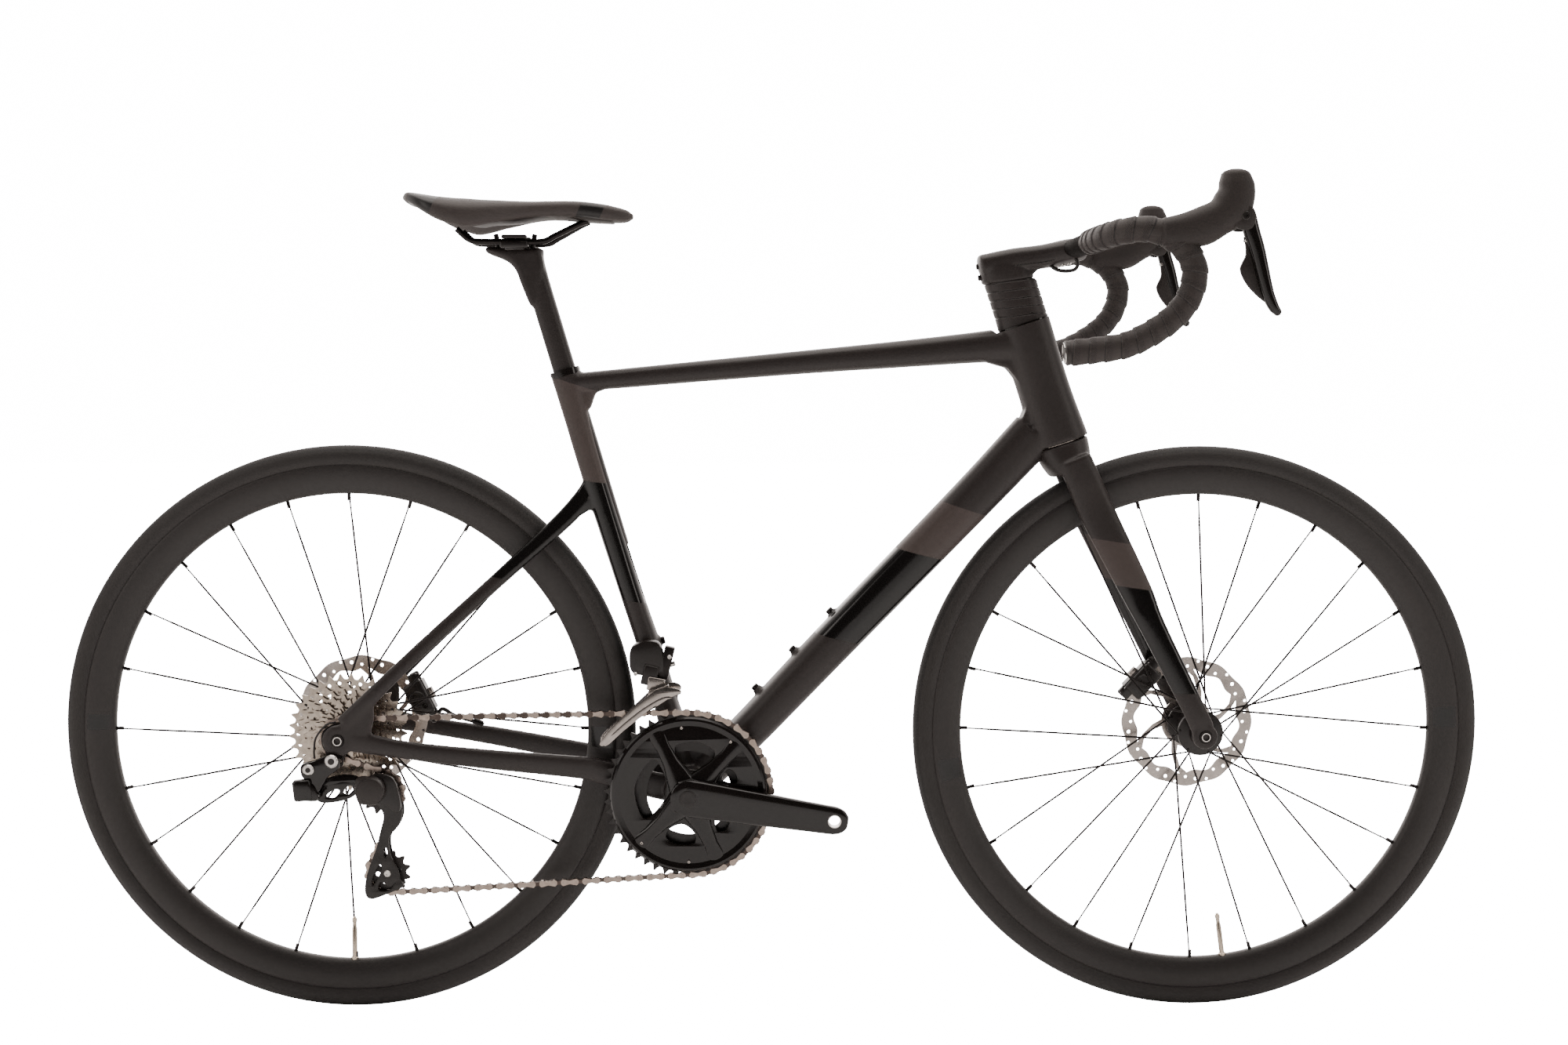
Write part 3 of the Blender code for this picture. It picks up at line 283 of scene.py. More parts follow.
def frame_bands(made, x, z):
    down = made.above(x, -0.020)
    seat = 1 - made.above(x, -0.120)
    upper = made.above(x * 0.315 + z * 0.949, 0.6438)
    middle = made.above(x * 0.2435 + z * 0.9699, 0.5752)
    lower = made.above(x * 0.2357 + z * 0.9718, 0.4541)
    top = made.above(x * 0.31 + z * 0.951, 0.6403)
    joint = made.above(z + x * 0.128, 0.6078)
    foot = made.above(z + x * 0.20, 0.4600)
    taupe = down * (1 - upper) * middle + seat * (1 - top) * joint
    gloss = down * (1 - middle) * lower + seat * (1 - joint) * foot
    return taupe, gloss


def fork_bands(made, x, z):
    upper = made.above(z + x * 0.14, 0.6230)
    middle = made.above(z + x * 0.14, 0.5720)
    lower = made.above(z, 0.3900)
    return (1 - upper) * middle, (1 - middle) * lower


def plain(made, x, z):
    return made.above(z, 9.0), made.above(z, 9.0)


frame_paint = lacquer("frame_lacquer", frame_bands)
fork_paint = lacquer("fork_lacquer", fork_bands)
satin_paint = lacquer("satin_lacquer", plain)
print("lacquers", frame_paint.name, fork_paint.name, satin_paint.name)

# %% [markdown]
# ## Metals, rubber and plastic
# The rest of the bicycle needs a dozen finishes. Each one keeps a constant shader value constant,
# and lets noise or a pattern vary only colour, roughness and the normal, which is what changes over
# a real surface: oil on a chain, brushing on a rotor, a fine moulded texture on a hood.

# %% Bare and coated metals
def metal(name, dark, light, rough, spread, scale=60.0, brushed=(1.0, 1.0, 1.0)):
    """Metal whose tone and polish wander a little; brushed stretches the pattern along one axis."""
    made = Finish(name, light, rough, metallic=1.0)
    place = made.stretched(made.place(), brushed)
    cloud = made.noise(place, scale)
    fine = made.noise(place, scale * 12.0, 2.0)
    made.set("Base Color", made.blend(cloud, dark, light))
    made.set("Roughness", rough - spread / 2 + fine * spread)
    made.bump(fine, 0.00003)
    return made.material


steel = metal("brushed_steel", (0.40, 0.36, 0.33), (0.66, 0.61, 0.57), 0.30, 0.16, 40.0, (1.0, 14.0, 1.0))
sprocket_steel = metal("sprocket_steel", (0.24, 0.19, 0.15), (0.78, 0.70, 0.60), 0.24, 0.16, 140.0)
chain_steel = metal("chain_steel", (0.30, 0.24, 0.20), (0.58, 0.49, 0.43), 0.30, 0.16, 160.0)
# The same chain steel, darker: painted shade for the inner links, which sit recessed between the outer
# plates.
chain_painted_shade = metal("chain_painted_shade", (0.060, 0.046, 0.040), (0.150, 0.120, 0.105), 0.34, 0.16, 160.0)
cage_steel = metal("cage_steel", (0.26, 0.235, 0.22), (0.58, 0.53, 0.49), 0.22, 0.12, 70.0)
silver = metal("silver_alloy", (0.60, 0.57, 0.54), (0.80, 0.78, 0.75), 0.24, 0.10, 50.0)
black_alloy = metal("black_alloy", (0.020, 0.018, 0.018), (0.040, 0.036, 0.035), 0.34, 0.12, 70.0)
brass = metal("brass_valve", (0.55, 0.45, 0.34), (0.75, 0.66, 0.56), 0.28, 0.10, 90.0)
print("metals", steel.name, chain_steel.name, silver.name)

# %% Gloss black, moulded plastic, grips and tyres
def moulded(name, colour, rough, grain_scale, depth, variation=0.25):
    """Moulded or rubbery surface with a fine grain and soft changes of tone."""
    made = Finish(name, colour, rough)
    place = made.place()
    grain = made.noise(place, grain_scale, 4.0, 0.6)
    cloud = made.noise(place, 25.0)
    made.set("Base Color", made.blend(cloud, [channel * (1 - variation) for channel in colour],
                                      [channel * (1 + variation) for channel in colour]))
    made.set("Roughness", rough - 0.06 + grain * 0.12)
    made.bump(grain, depth)
    return made.material


gloss_black = moulded("gloss_black", (0.0070, 0.0053, 0.0048), 0.13, 30.0, 0.00001)
satin_black = moulded("satin_black", (0.0120, 0.0092, 0.0082), 0.32, 400.0, 0.00002)
plastic = moulded("moulded_plastic", (0.0210, 0.0158, 0.0139), 0.46, 700.0, 0.00005)
hood_rubber = moulded("hood_rubber", (0.0230, 0.0167, 0.0148), 0.62, 900.0, 0.00008)
hose_black = moulded("hose_jacket", (0.0140, 0.0110, 0.0098), 0.36, 500.0, 0.00002)
print("moulded", gloss_black.name, plastic.name, hood_rubber.name)

# %% [markdown]
# ## Shapes
# Most of the bicycle is one of four shapes: a tube whose section changes along its way, a shape
# turned about an axle, a plate with holes, or a round tube along a path. One helper makes each.
# All of them give a plain mesh in its final place, so that patterns on object coordinates stay put.

# %% Helpers for tubes that change along their way
def finished(bm, merge=0.00001):
    """A mesh from a bmesh, its doubles merged and its faces turned outwards."""
    bmesh.ops.remove_doubles(bm, verts=bm.verts, dist=merge)
    bmesh.ops.recalc_face_normals(bm, faces=bm.faces)
    mesh = bpy.data.meshes.new("shape")
    bm.to_mesh(mesh)
    bm.free()
    return mesh


def skin(rings, closed=False):
    """Skins a row of equal rings and caps the ends."""
    bm = bmesh.new()
    rows = [[bm.verts.new(point) for point in ring] for ring in rings]
    count = len(rows[0])
    for index in range(len(rows) if closed else len(rows) - 1):
        low, high = rows[index], rows[(index + 1) % len(rows)]
        for side in range(count):
            after = (side + 1) % count
            bm.faces.new((low[side], low[after], high[after], high[side]))
    if not closed:
        bm.faces.new(rows[0])
        bm.faces.new(rows[-1])
    return finished(bm)


def section(x, z, angle, depth, width, y=0.0, sides=24, square=2.4):
    """Rounded section of a tube that runs at an angle, in degrees, in the side view."""
    turn = math.radians(angle)
    normal = Vector((-math.sin(turn), 0.0, math.cos(turn)))
    ring = []
    for step in range(sides):
        phase = 2.0 * math.pi * (step + 0.5) / sides
        c, s = math.cos(phase), math.sin(phase)
        out = math.copysign(abs(c) ** (2.0 / square), c) * depth / 2.0
        side = math.copysign(abs(s) ** (2.0 / square), s) * width / 2.0
        ring.append(Vector((x, y, z)) + normal * out + Vector((0.0, side, 0.0)))
    return ring


def between(rows, steps):
    """Rows of numbers on a smooth curve through the given rows."""
    rows = [Vector(row) for row in rows]
    ends = [rows[0] * 2 - rows[1]] + rows + [rows[-1] * 2 - rows[-2]]
    made = []
    for index in range(1, len(ends) - 2):
        a, b, c, d = ends[index - 1:index + 3]
        for step in range(steps):
            t = step / steps
            made.append(0.5 * (2 * b + (c - a) * t + (2 * a - 5 * b + 4 * c - d) * t ** 2
                               + (3 * b - a - 3 * c + d) * t ** 3))
    return made + [rows[-1]]


def flowing(rows, steps=6, sides=24, square=2.4, rounded=0.0):
    """Tube through (x, z, angle, depth, width, y) rows; rounded ends bulge by that length."""
    rows = between([(*row, 0.0) if len(row) == 5 else row for row in rows], steps)
    rings = [section(*row, sides=sides, square=square) for row in rows]
    if rounded:
        for end, inner in ((0, 1), (-1, -2)):
            middle = sum(rings[end], Vector()) / sides
            before = sum(rings[inner], Vector()) / sides
            away = (middle - before).normalized()
            caps = []
            for share in (0.35, 0.70, 0.94):
                shrink = math.sqrt(1.0 - share ** 2)
                caps.append([middle + away * rounded * share + (point - middle) * shrink
                             for point in rings[end]])
            rings = list(reversed(caps)) + rings if end == 0 else rings + caps
    return skin(rings)


# %% Helpers for turned shapes, plates and blocks
ACROSS = Vector((0.0, 1.0, 0.0))


def turned(profile, at, axis=ACROSS, count=32):
    """Turns an open or closed outline of (radius, height) about an axis through a point."""
    spin = axis.to_track_quat("Y", "Z").to_matrix()
    rings = []
    for step in range(count):
        phase = 2.0 * math.pi * step / count
        rings.append([Vector(at) + spin @ Vector((radius * math.cos(phase), height,
                                                  radius * math.sin(phase)))
                      for radius, height in profile])
    return skin(rings, closed=True)


def plate(outline, holes, y, thick, bevel=0.0):
    """Plate in the side view's plane: (x, z) outline and holes, centred on y."""
    curve = bpy.data.curves.new("plate", "CURVE")
    curve.dimensions = "2D"
    curve.fill_mode = "BOTH"
    curve.extrude = thick / 2.0 - bevel
    curve.bevel_depth = bevel
    curve.bevel_resolution = 1
    curve.offset = -bevel
    for loop in [outline] + list(holes):
        spline = curve.splines.new("POLY")
        spline.points.add(len(loop) - 1)
        for point, (x, z) in zip(spline.points, loop):
            point.co = (x, z, 0.0, 1.0)
        spline.use_cyclic_u = True
    holder = bpy.data.objects.new("plate", curve)
    bpy.context.collection.objects.link(holder)
    mesh = bpy.data.meshes.new_from_object(holder.evaluated_get(bpy.context.evaluated_depsgraph_get()))
    bpy.data.objects.remove(holder, do_unlink=True)
    mesh.transform(Matrix.Translation((0.0, y, 0.0)) @ Matrix.Rotation(math.pi / 2, 4, "X"))
    bm = bmesh.new()
    bm.from_mesh(mesh)
    return finished(bm)


def circle(x, z, radius, count=24, start=0.0):
    return [(x + radius * math.cos(start + 2 * math.pi * step / count),
             z + radius * math.sin(start + 2 * math.pi * step / count)) for step in range(count)]


def smooth_loop(points, steps=5):
    """Closed smooth outline through a few (x, z) points."""
    points = [Vector(point) for point in points]
    count = len(points)
    made = []
    for index in range(count):
        a, b, c, d = (points[(index + shift) % count] for shift in (-1, 0, 1, 2))
        for step in range(steps):
            t = step / steps
            place = 0.5 * (2 * b + (c - a) * t + (2 * a - 5 * b + 4 * c - d) * t ** 2
                           + (3 * b - a - 3 * c + d) * t ** 3)
            made.append((place.x, place.y))
    return made


def block(low, high, edge=0.0015, turn=0.0, about=None):
    """Rectangular block with rounded edges, turned about its middle in the side view."""
    bm = bmesh.new()
    bmesh.ops.create_cube(bm, size=1.0)
    middle = (Vector(low) + Vector(high)) / 2.0
    size = Vector(high) - Vector(low)
    bmesh.ops.scale(bm, vec=size, verts=bm.verts)
    bmesh.ops.bevel(bm, geom=bm.edges[:], offset=edge, segments=3, affect="EDGES", profile=0.5)
    bmesh.ops.rotate(bm, verts=bm.verts, cent=(0, 0, 0), matrix=Matrix.Rotation(turn, 3, "Y"))
    bmesh.ops.translate(bm, verts=bm.verts, vec=about or middle)
    return finished(bm)


def together(*meshes):
    """One mesh from several."""
    bm = bmesh.new()
    for mesh in meshes:
        bm.from_mesh(mesh)
    mesh = bpy.data.meshes.new("shape")
    bm.to_mesh(mesh)
    bm.free()
    return mesh


def bolt(at, axis, radius, height, socket=0.45):
    """Round bolt head with a key socket, standing on a point."""
    bevel = radius * 0.18
    deep = height * 0.75
    hole = radius * socket
    profile = ((0.0, -height * 0.2), (radius, -height * 0.2), (radius, height - bevel),
               (radius - bevel, height), (hole, height), (hole * 0.96, height - deep), (0.0, height - deep))
    return turned(profile, at, Vector(axis).normalized(), 20)


# %% Helpers that use modifiers
def evaluated(mesh, *modifiers):
    """The mesh after some modifiers, each given as (type, settings)."""
    holder = bpy.data.objects.new("holder", mesh)
    bpy.context.collection.objects.link(holder)
    for kind, settings in modifiers:
        modifier = holder.modifiers.new(kind.lower(), kind)
        for key, value in settings.items():
            setattr(modifier, key, value)
    made = bpy.data.meshes.new_from_object(holder.evaluated_get(bpy.context.evaluated_depsgraph_get()))
    bpy.data.objects.remove(holder, do_unlink=True)
    return made


def melted(mesh, voxel, passes):
    """Overlapping solids as one skin whose joints are rounded like laid-up carbon."""
    return evaluated(mesh, ("REMESH", {"mode": "VOXEL", "voxel_size": voxel}),
                     ("SMOOTH", {"factor": 0.5, "iterations": passes}))


def carved(mesh, *tools):
    """The mesh with other solids cut away."""
    holders = []
    for tool in tools:
        holder = bpy.data.objects.new("tool", tool)
        bpy.context.collection.objects.link(holder)
        holders.append(holder)
    made = evaluated(mesh, *[("BOOLEAN", {"operation": "DIFFERENCE", "solver": "EXACT", "object": holder})
                             for holder in holders])
    for holder in holders:
        bpy.data.objects.remove(holder, do_unlink=True)
    return made


# %% Show a piece and say what it rides on
SHARP = math.radians(32.0)


def show(name, mesh, finish, body, slot, *nodes, sharp=SHARP):
    """Adds a finished piece, which moves with a body and stands for some solids."""
    mesh.materials.clear()
    mesh.materials.append(finish if isinstance(finish, bpy.types.Material) else finish.material)
    mesh.polygons.foreach_set("material_index", [0] * len(mesh.polygons))
    mesh.shade_smooth()
    mesh.set_sharp_from_angle(angle=sharp)
    made = bpy.data.objects.new(name, mesh)
    bpy.context.collection.objects.link(made)
    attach(made, body)
    if nodes:
        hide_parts(*nodes)
    print(name, len(mesh.polygons), "faces on", body)
    return made


# %% [markdown]
# ## Repeating with Geometry Nodes
# Spokes, teeth, links and bolts are each one small shape many times. One node tree takes a mesh
# of points, where each point holds its own turn, and puts the shape on every point. Its inputs
# have names, so the same tree serves the spokes, their heads, the nipples and the chain links.
# Another tree sweeps a round section along a curve, for hoses and rails.

# %% A tree that puts a shape on every point
def new_tree(name, inputs):
    tree = bpy.data.node_groups.new(name, "GeometryNodeTree")
    tree.interface.new_socket("Geometry", in_out="INPUT", socket_type="NodeSocketGeometry")
    for label, kind in inputs:
        tree.interface.new_socket(label, in_out="INPUT", socket_type=kind)
    tree.interface.new_socket("Geometry", in_out="OUTPUT", socket_type="NodeSocketGeometry")
    return tree, tree.nodes.new("NodeGroupInput"), tree.nodes.new("NodeGroupOutput")


copies, copies_in, copies_out = new_tree("copies_on_points", (("Shape", "NodeSocketObject"),
                                                              ("Material", "NodeSocketMaterial")))
info = copies.nodes.new("GeometryNodeObjectInfo")
turn_of = copies.nodes.new("GeometryNodeInputNamedAttribute")
turn_of.data_type = "FLOAT_VECTOR"
turn_of.inputs["Name"].default_value = "turn"
as_rotation = copies.nodes.new("FunctionNodeEulerToRotation")
on_points = copies.nodes.new("GeometryNodeInstanceOnPoints")
realize = copies.nodes.new("GeometryNodeRealizeInstances")
paint = copies.nodes.new("GeometryNodeSetMaterial")
for start, end in ((copies_in.outputs["Geometry"], on_points.inputs["Points"]),
                   (copies_in.outputs["Shape"], info.inputs["Object"]),
                   (info.outputs["Geometry"], on_points.inputs["Instance"]),
                   (turn_of.outputs[0], as_rotation.inputs[0]),
                   (as_rotation.outputs[0], on_points.inputs["Rotation"]),
                   (on_points.outputs[0], realize.inputs[0]),
                   (realize.outputs[0], paint.inputs["Geometry"]),
                   (copies_in.outputs["Material"], paint.inputs["Material"]),
                   (paint.outputs[0], copies_out.inputs[0])):
    copies.links.new(start, end)


def run_tree(tree, holder, values):
    """Runs a tree on an object, with its inputs set by identifier, and returns a plain mesh."""
    modifier = holder.modifiers.new(tree.name, "NODES")
    modifier.node_group = tree
    for item in tree.interface.items_tree:
        if item.in_out == "INPUT" and item.name in values:
            modifier[item.identifier] = values[item.name]
    holder.update_tag()
    graph = bpy.context.evaluated_depsgraph_get()
    made = bpy.data.meshes.new_from_object(holder.evaluated_get(graph))
    holder.modifiers.remove(modifier)
    bpy.data.objects.remove(holder, do_unlink=True)
    return made


def repeated(shape, places, finish):
    """A small mesh at many (point, turn) places, made by the tree."""
    points = bpy.data.meshes.new("points")
    points.from_pydata([place for place, turn in places], [], [])
    attribute = points.attributes.new("turn", "FLOAT_VECTOR", "POINT")
    for item, (place, turn) in zip(attribute.data, places):
        item.vector = turn
    holder = bpy.data.objects.new("points", points)
    sample = bpy.data.objects.new("shape", shape)
    for item in (holder, sample):
        bpy.context.collection.objects.link(item)
    made = run_tree(copies, holder, {"Shape": sample, "Material": finish})
    bpy.data.objects.remove(sample, do_unlink=True)
    return made


# %% A tree that sweeps a round section along a curve
hose, hose_in, hose_out = new_tree("round_along_curve", (("Radius", "NodeSocketFloat"),
                                                         ("Material", "NodeSocketMaterial")))
ring = hose.nodes.new("GeometryNodeCurvePrimitiveCircle")
ring.inputs["Resolution"].default_value = 14
sweep = hose.nodes.new("GeometryNodeCurveToMesh")
sweep.inputs["Fill Caps"].default_value = True
real = hose.nodes.new("GeometryNodeRealizeInstances")
coat = hose.nodes.new("GeometryNodeSetMaterial")
for start, end in ((hose_in.outputs["Geometry"], sweep.inputs["Curve"]),
                   (hose_in.outputs["Radius"], ring.inputs["Radius"]),
                   (ring.outputs[0], sweep.inputs["Profile Curve"]),
                   (sweep.outputs[0], real.inputs[0]),
                   (real.outputs[0], coat.inputs["Geometry"]),
                   (hose_in.outputs["Material"], coat.inputs["Material"]),
                   (coat.outputs[0], hose_out.inputs[0])):
    hose.links.new(start, end)


def round_tube(route, radius, finish, steps=6):
    """Round tube on a smooth curve through a few points."""
    curve = bpy.data.curves.new("route", "CURVE")
    curve.dimensions = "3D"
    path = between(route, steps)
    spline = curve.splines.new("POLY")
    spline.points.add(len(path) - 1)
    for point, place in zip(spline.points, path):
        point.co = (*place, 1.0)
    holder = bpy.data.objects.new("route", curve)
    bpy.context.collection.objects.link(holder)
    mesh = run_tree(hose, holder, {"Radius": radius, "Material": finish})
    bm = bmesh.new()
    bm.from_mesh(mesh)
    return finished(bm)


print("shape helpers and two node trees are ready")

# %% [markdown]
# ## Where things are
# The places of the main axes come from the solids: each one is the middle of a node's box.

# %% Read the axes from the solids
def middle_of(node):
    low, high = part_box(node)
    return (Vector(low) + Vector(high)) / 2.0


FRONT = middle_of("front_tyre")
REAR = middle_of("rear_tyre")
BB = middle_of("chainring_outer")
RING_Y = BB.y
BB.y = 0.0
GUIDE = middle_of("guide_pulley")
TENSION = middle_of("tension_pulley")
CAGE_AT = Vector((-0.4670, GUIDE.y, 0.2811))
TYRE_RADIUS = FRONT.z
PITCH = 0.0127
HEAD_UP = Vector((-math.cos(math.radians(71.7)), 0.0, math.sin(math.radians(71.7))))
SEAT_ANGLE = math.radians(73.5)
SEAT_UP = Vector((-math.cos(SEAT_ANGLE), 0.0, math.sin(SEAT_ANGLE)))
ARM_DROP = math.radians(8.5)
print("front axle", FRONT[:], "rear axle", REAR[:], "bottom bracket", BB[:])

# %% [markdown]
# ## Wheels
# A tyre is a round casing on a deep carbon rim. Its tread has a fine file pattern, finer than a
# millimetre, so that is a bump pattern in wheel coordinates: angle and distance across. The
# sidewall is smoother, with thin moulded rings. The rim is matte with a soft bulge, and has two
# plain gloss patches where a maker would put a name.

# %% Rubber and rim finishes in wheel coordinates
def wheel_place(made, centre):
    """Distance from the axle, angle round it and place across, for one wheel."""
    x, y, z = made.axes(made.place())
    x = x - centre.x
    z = z - centre.z
    radius = made.node("ShaderNodeMath", {"operation": "SQRT"}, {0: x * x + z * z})
    angle = x.math("ARCTAN2", z, x)
    return radius, angle, y


# Tread cuts per radian round the tyre and across it, and moulded rings down the sidewall.
FILE_ROUND, FILE_ACROSS, BEAD_RINGS = 900.0, 2600.0, 4200.0


def tyre_rubber(name, centre):
    made = Finish(name, (0.020, 0.017, 0.016), 0.6)
    radius, angle, y = wheel_place(made, centre)
    tread = made.above(radius, TYRE_RADIUS - 0.0062, 0.0009)
    across = y * FILE_ACROSS
    file_cut = made.node("ShaderNodeMath", {"operation": "SINE"},
                         {0: angle * FILE_ROUND + across.math("ABSOLUTE", across)})
    ring = made.node("ShaderNodeMath", {"operation": "SINE"}, {0: radius * BEAD_RINGS})
    speck = made.noise(made.place(), 500.0, 4.0)
    cloud = made.noise(made.place(), 18.0)
    side = made.blend(cloud, (0.0165, 0.0140, 0.0132), (0.0260, 0.0220, 0.0205))
    made.set("Base Color", made.blend(tread * 0.7, side, (0.0120, 0.0108, 0.0104)))
    made.set("Roughness", 0.50 + speck * 0.16 + tread * 0.10)
    made.bump(file_cut * tread * 0.5 + ring * (1 - tread) * 0.20 + speck * 0.5, 0.00010)
    return made.material


def rim_coat(name, centre, patches):
    made = Finish(name, (0.016, 0.0135, 0.0130), 0.45)
    radius, angle, _ = wheel_place(made, centre)
    cloth = made.noise(made.place(), 260.0, 2.0)
    cloud = made.noise(made.place(), 11.0, 2.0)
    patch = None
    for middle in patches:
        near = made.node("ShaderNodeMath", {"operation": "ABSOLUTE"}, {0: angle - middle})
        here = 1 - made.above(near, 0.042, 0.001)
        patch = here if patch is None else patch + here
    band = made.above(radius, 0.2860) * (1 - made.above(radius, 0.3120))
    patch = patch * band
    matte = made.blend(cloud, (0.0175, 0.0148, 0.0140), (0.0260, 0.0218, 0.0205))
    made.set("Base Color", made.blend(patch, matte, (0.0045, 0.0040, 0.0038)))
    made.set("Roughness", 0.42 + cloth * 0.10 - patch * 0.26)
    made.bump(cloth, 0.00003)
    return made.material


print("wheel finishes are written")

# %% Tyre, rim and hub profiles
def tyre_profile():
    rows = []
    for step in range(33):
        phase = math.radians(-128.0 + 256.0 * step / 32)
        rows.append((TYRE_RADIUS - 0.0145 + 0.0145 * math.cos(phase), 0.0145 * math.sin(phase)))
    return rows


def rim_profile():
    side = [(0.2815, 0.0000), (0.2817, 0.0030), (0.2830, 0.0058), (0.2870, 0.0088), (0.2930, 0.0112),
            (0.3000, 0.0128), (0.3070, 0.0133), (0.3130, 0.0130), (0.3155, 0.0124), (0.3165, 0.0110),
            (0.3160, 0.0094), (0.3120, 0.0088), (0.3105, 0.0)]
    mirror = [(radius, -y) for radius, y in reversed(side[1:-1])]
    return side + mirror


def hub_mesh(centre, half, left, right, barrel):
    rows = [(0.0070, -half), (0.0120, -half), (0.0126, -half + 0.001), (0.0128, right - 0.007),
            (0.0140, right - 0.004), (0.0265, right - 0.0022), (0.0270, right - 0.0010),
            (0.0270, right + 0.0010), (0.0262, right + 0.0018), (0.0160, right + 0.0030),
            (barrel, right + 0.0090), (barrel * 0.94, (left + right) / 2), (barrel, left - 0.0090),
            (0.0160, left - 0.0030), (0.0262, left - 0.0018), (0.0270, left - 0.0010),
            (0.0270, left + 0.0010), (0.0265, left + 0.0022), (0.0140, left + 0.004),
            (0.0128, left + 0.007), (0.0126, half - 0.001), (0.0120, half), (0.0070, half)]
    return turned(rows, centre, count=48)


# %% Spokes, nipples and valve
SPOKE_COUNT = 24
RIM_BED = 0.2817


def spoke_meshes(centre, left, right):
    """Bladed spokes crossed once, one small shape for each flange and direction."""
    meshes = []
    for first in range(4):
        on_left, leading = first % 2 == 0, (first // 2) % 2 == 0
        flange = left if on_left else right
        lean = math.radians(52.0) * (1 if leading else -1)
        foot = Vector((0.0245 * math.cos(lean), flange + 0.0013 * (1 if leading else -1),
                       0.0245 * math.sin(lean)))
        tip = Vector((RIM_BED + 0.002, 0.0, 0.0))
        along = (tip - foot).normalized()
        flat = along.cross(ACROSS).normalized()
        thin = along.cross(flat)
        rings = []
        for share, wide, thick in ((0.0, 1.1, 1.1), (0.05, 1.0, 1.0), (0.09, 1.25, 0.55),
                                   (0.86, 1.25, 0.55), (0.90, 1.0, 1.0), (1.0, 1.0, 1.0)):
            here = foot.lerp(tip, share)
            rings.append([here + flat * math.cos(phase) * wide * 0.00094
                          + thin * math.sin(phase) * thick * 0.00094
                          for phase in [2 * math.pi * step / 8 for step in range(8)]])
        places = [(centre, (0.0, -2 * math.pi * index / SPOKE_COUNT, 0.0))
                  for index in range(first, SPOKE_COUNT, 4)]
        meshes.append(repeated(skin(rings), places, black_alloy))
        head = turned(((0.0, -0.0016), (0.0016, -0.0014), (0.0021, 0.0), (0.0016, 0.0014), (0.0, 0.0016)),
                      foot, ACROSS, 8)
        meshes.append(repeated(head, places, black_alloy))
    return together(*meshes)


def nipple_mesh(centre):
    shape = turned(((0.0, 0.0), (0.0019, 0.0), (0.0021, 0.0012), (0.0021, 0.0095), (0.0, 0.0095)),
                   (RIM_BED + 0.0012, 0.0, 0.0), Vector((-1.0, 0.0, 0.0)), 8)
    return repeated(shape, [(centre, (0.0, -2 * math.pi * index / SPOKE_COUNT, 0.0))
                            for index in range(SPOKE_COUNT)], black_alloy)


def valve_mesh(centre, angle):
    """Slim valve stem with its ring nut and knurled tip."""
    profile = ((0.0, 0.0), (0.0046, 0.0), (0.0046, 0.0022), (0.0030, 0.0034), (0.0030, 0.0380),
               (0.0024, 0.0390), (0.0024, 0.0455), (0.0029, 0.0460), (0.0029, 0.0500),
               (0.0018, 0.0505), (0.0018, 0.0520), (0.0, 0.0525))
    out = Vector((math.cos(angle), 0.0, math.sin(angle)))
    return turned(profile, centre + out * (RIM_BED + 0.0008), -out, 16)


# %% Brake rotor
def rotor_mesh(centre, y):
    """Scalloped steel ring on a six-armed carrier, with rows of holes."""
    turns = 6
    outline = []
    for step in range(240):
        phase = 2 * math.pi * step / 240
        radius = 0.0788 + 0.0011 * math.cos(phase * 2 * turns)
        outline.append((centre.x + radius * math.cos(phase), centre.z + radius * math.sin(phase)))
    inner = []
    for step in range(240):
        phase = 2 * math.pi * step / 240
        radius = 0.0630 + 0.0022 * math.cos(phase * turns * 2 + 1.2)
        inner.append((centre.x + radius * math.cos(phase), centre.z + radius * math.sin(phase)))
    holes = [inner]
    for index in range(36):
        row = index % 3
        phase = 2 * math.pi * index / 36
        radius = (0.0685, 0.0720, 0.0755)[row]
        reach = 0.0019 if row != 1 else 0.0023
        holes.append(circle(centre.x + radius * math.cos(phase), centre.z + radius * math.sin(phase),
                            reach, 10))
    ring = plate(outline, holes, y, 0.0018)
    arms = []
    for index in range(turns):
        phase = 2 * math.pi * index / turns
        points = []
        for radius, swing, wide in ((0.0280, 0.00, 0.17), (0.0420, 0.16, 0.075), (0.0560, 0.34, 0.055),
                                    (0.0655, 0.50, 0.085)):
            points.append((radius, phase + swing, wide))
        loop = [(centre.x + radius * math.cos(angle - wide), centre.z + radius * math.sin(angle - wide))
                for radius, angle, wide in points]
        loop += [(centre.x + radius * math.cos(angle + wide), centre.z + radius * math.sin(angle + wide))
                 for radius, angle, wide in reversed(points)]
        arms.append(plate(loop, [], y, 0.0016))
        knob = turned(((0.0, -0.0016), (0.0030, -0.0016), (0.0030, 0.0016), (0.0, 0.0016)),
                      (centre.x + 0.0640 * math.cos(phase + 0.49), y,
                       centre.z + 0.0640 * math.sin(phase + 0.49)), count=12)
        arms.append(knob)
    hub = plate(circle(centre.x, centre.z, 0.0310, 48), [circle(centre.x, centre.z, 0.0210, 36)], y, 0.0017)
    return ring, together(hub, *arms)


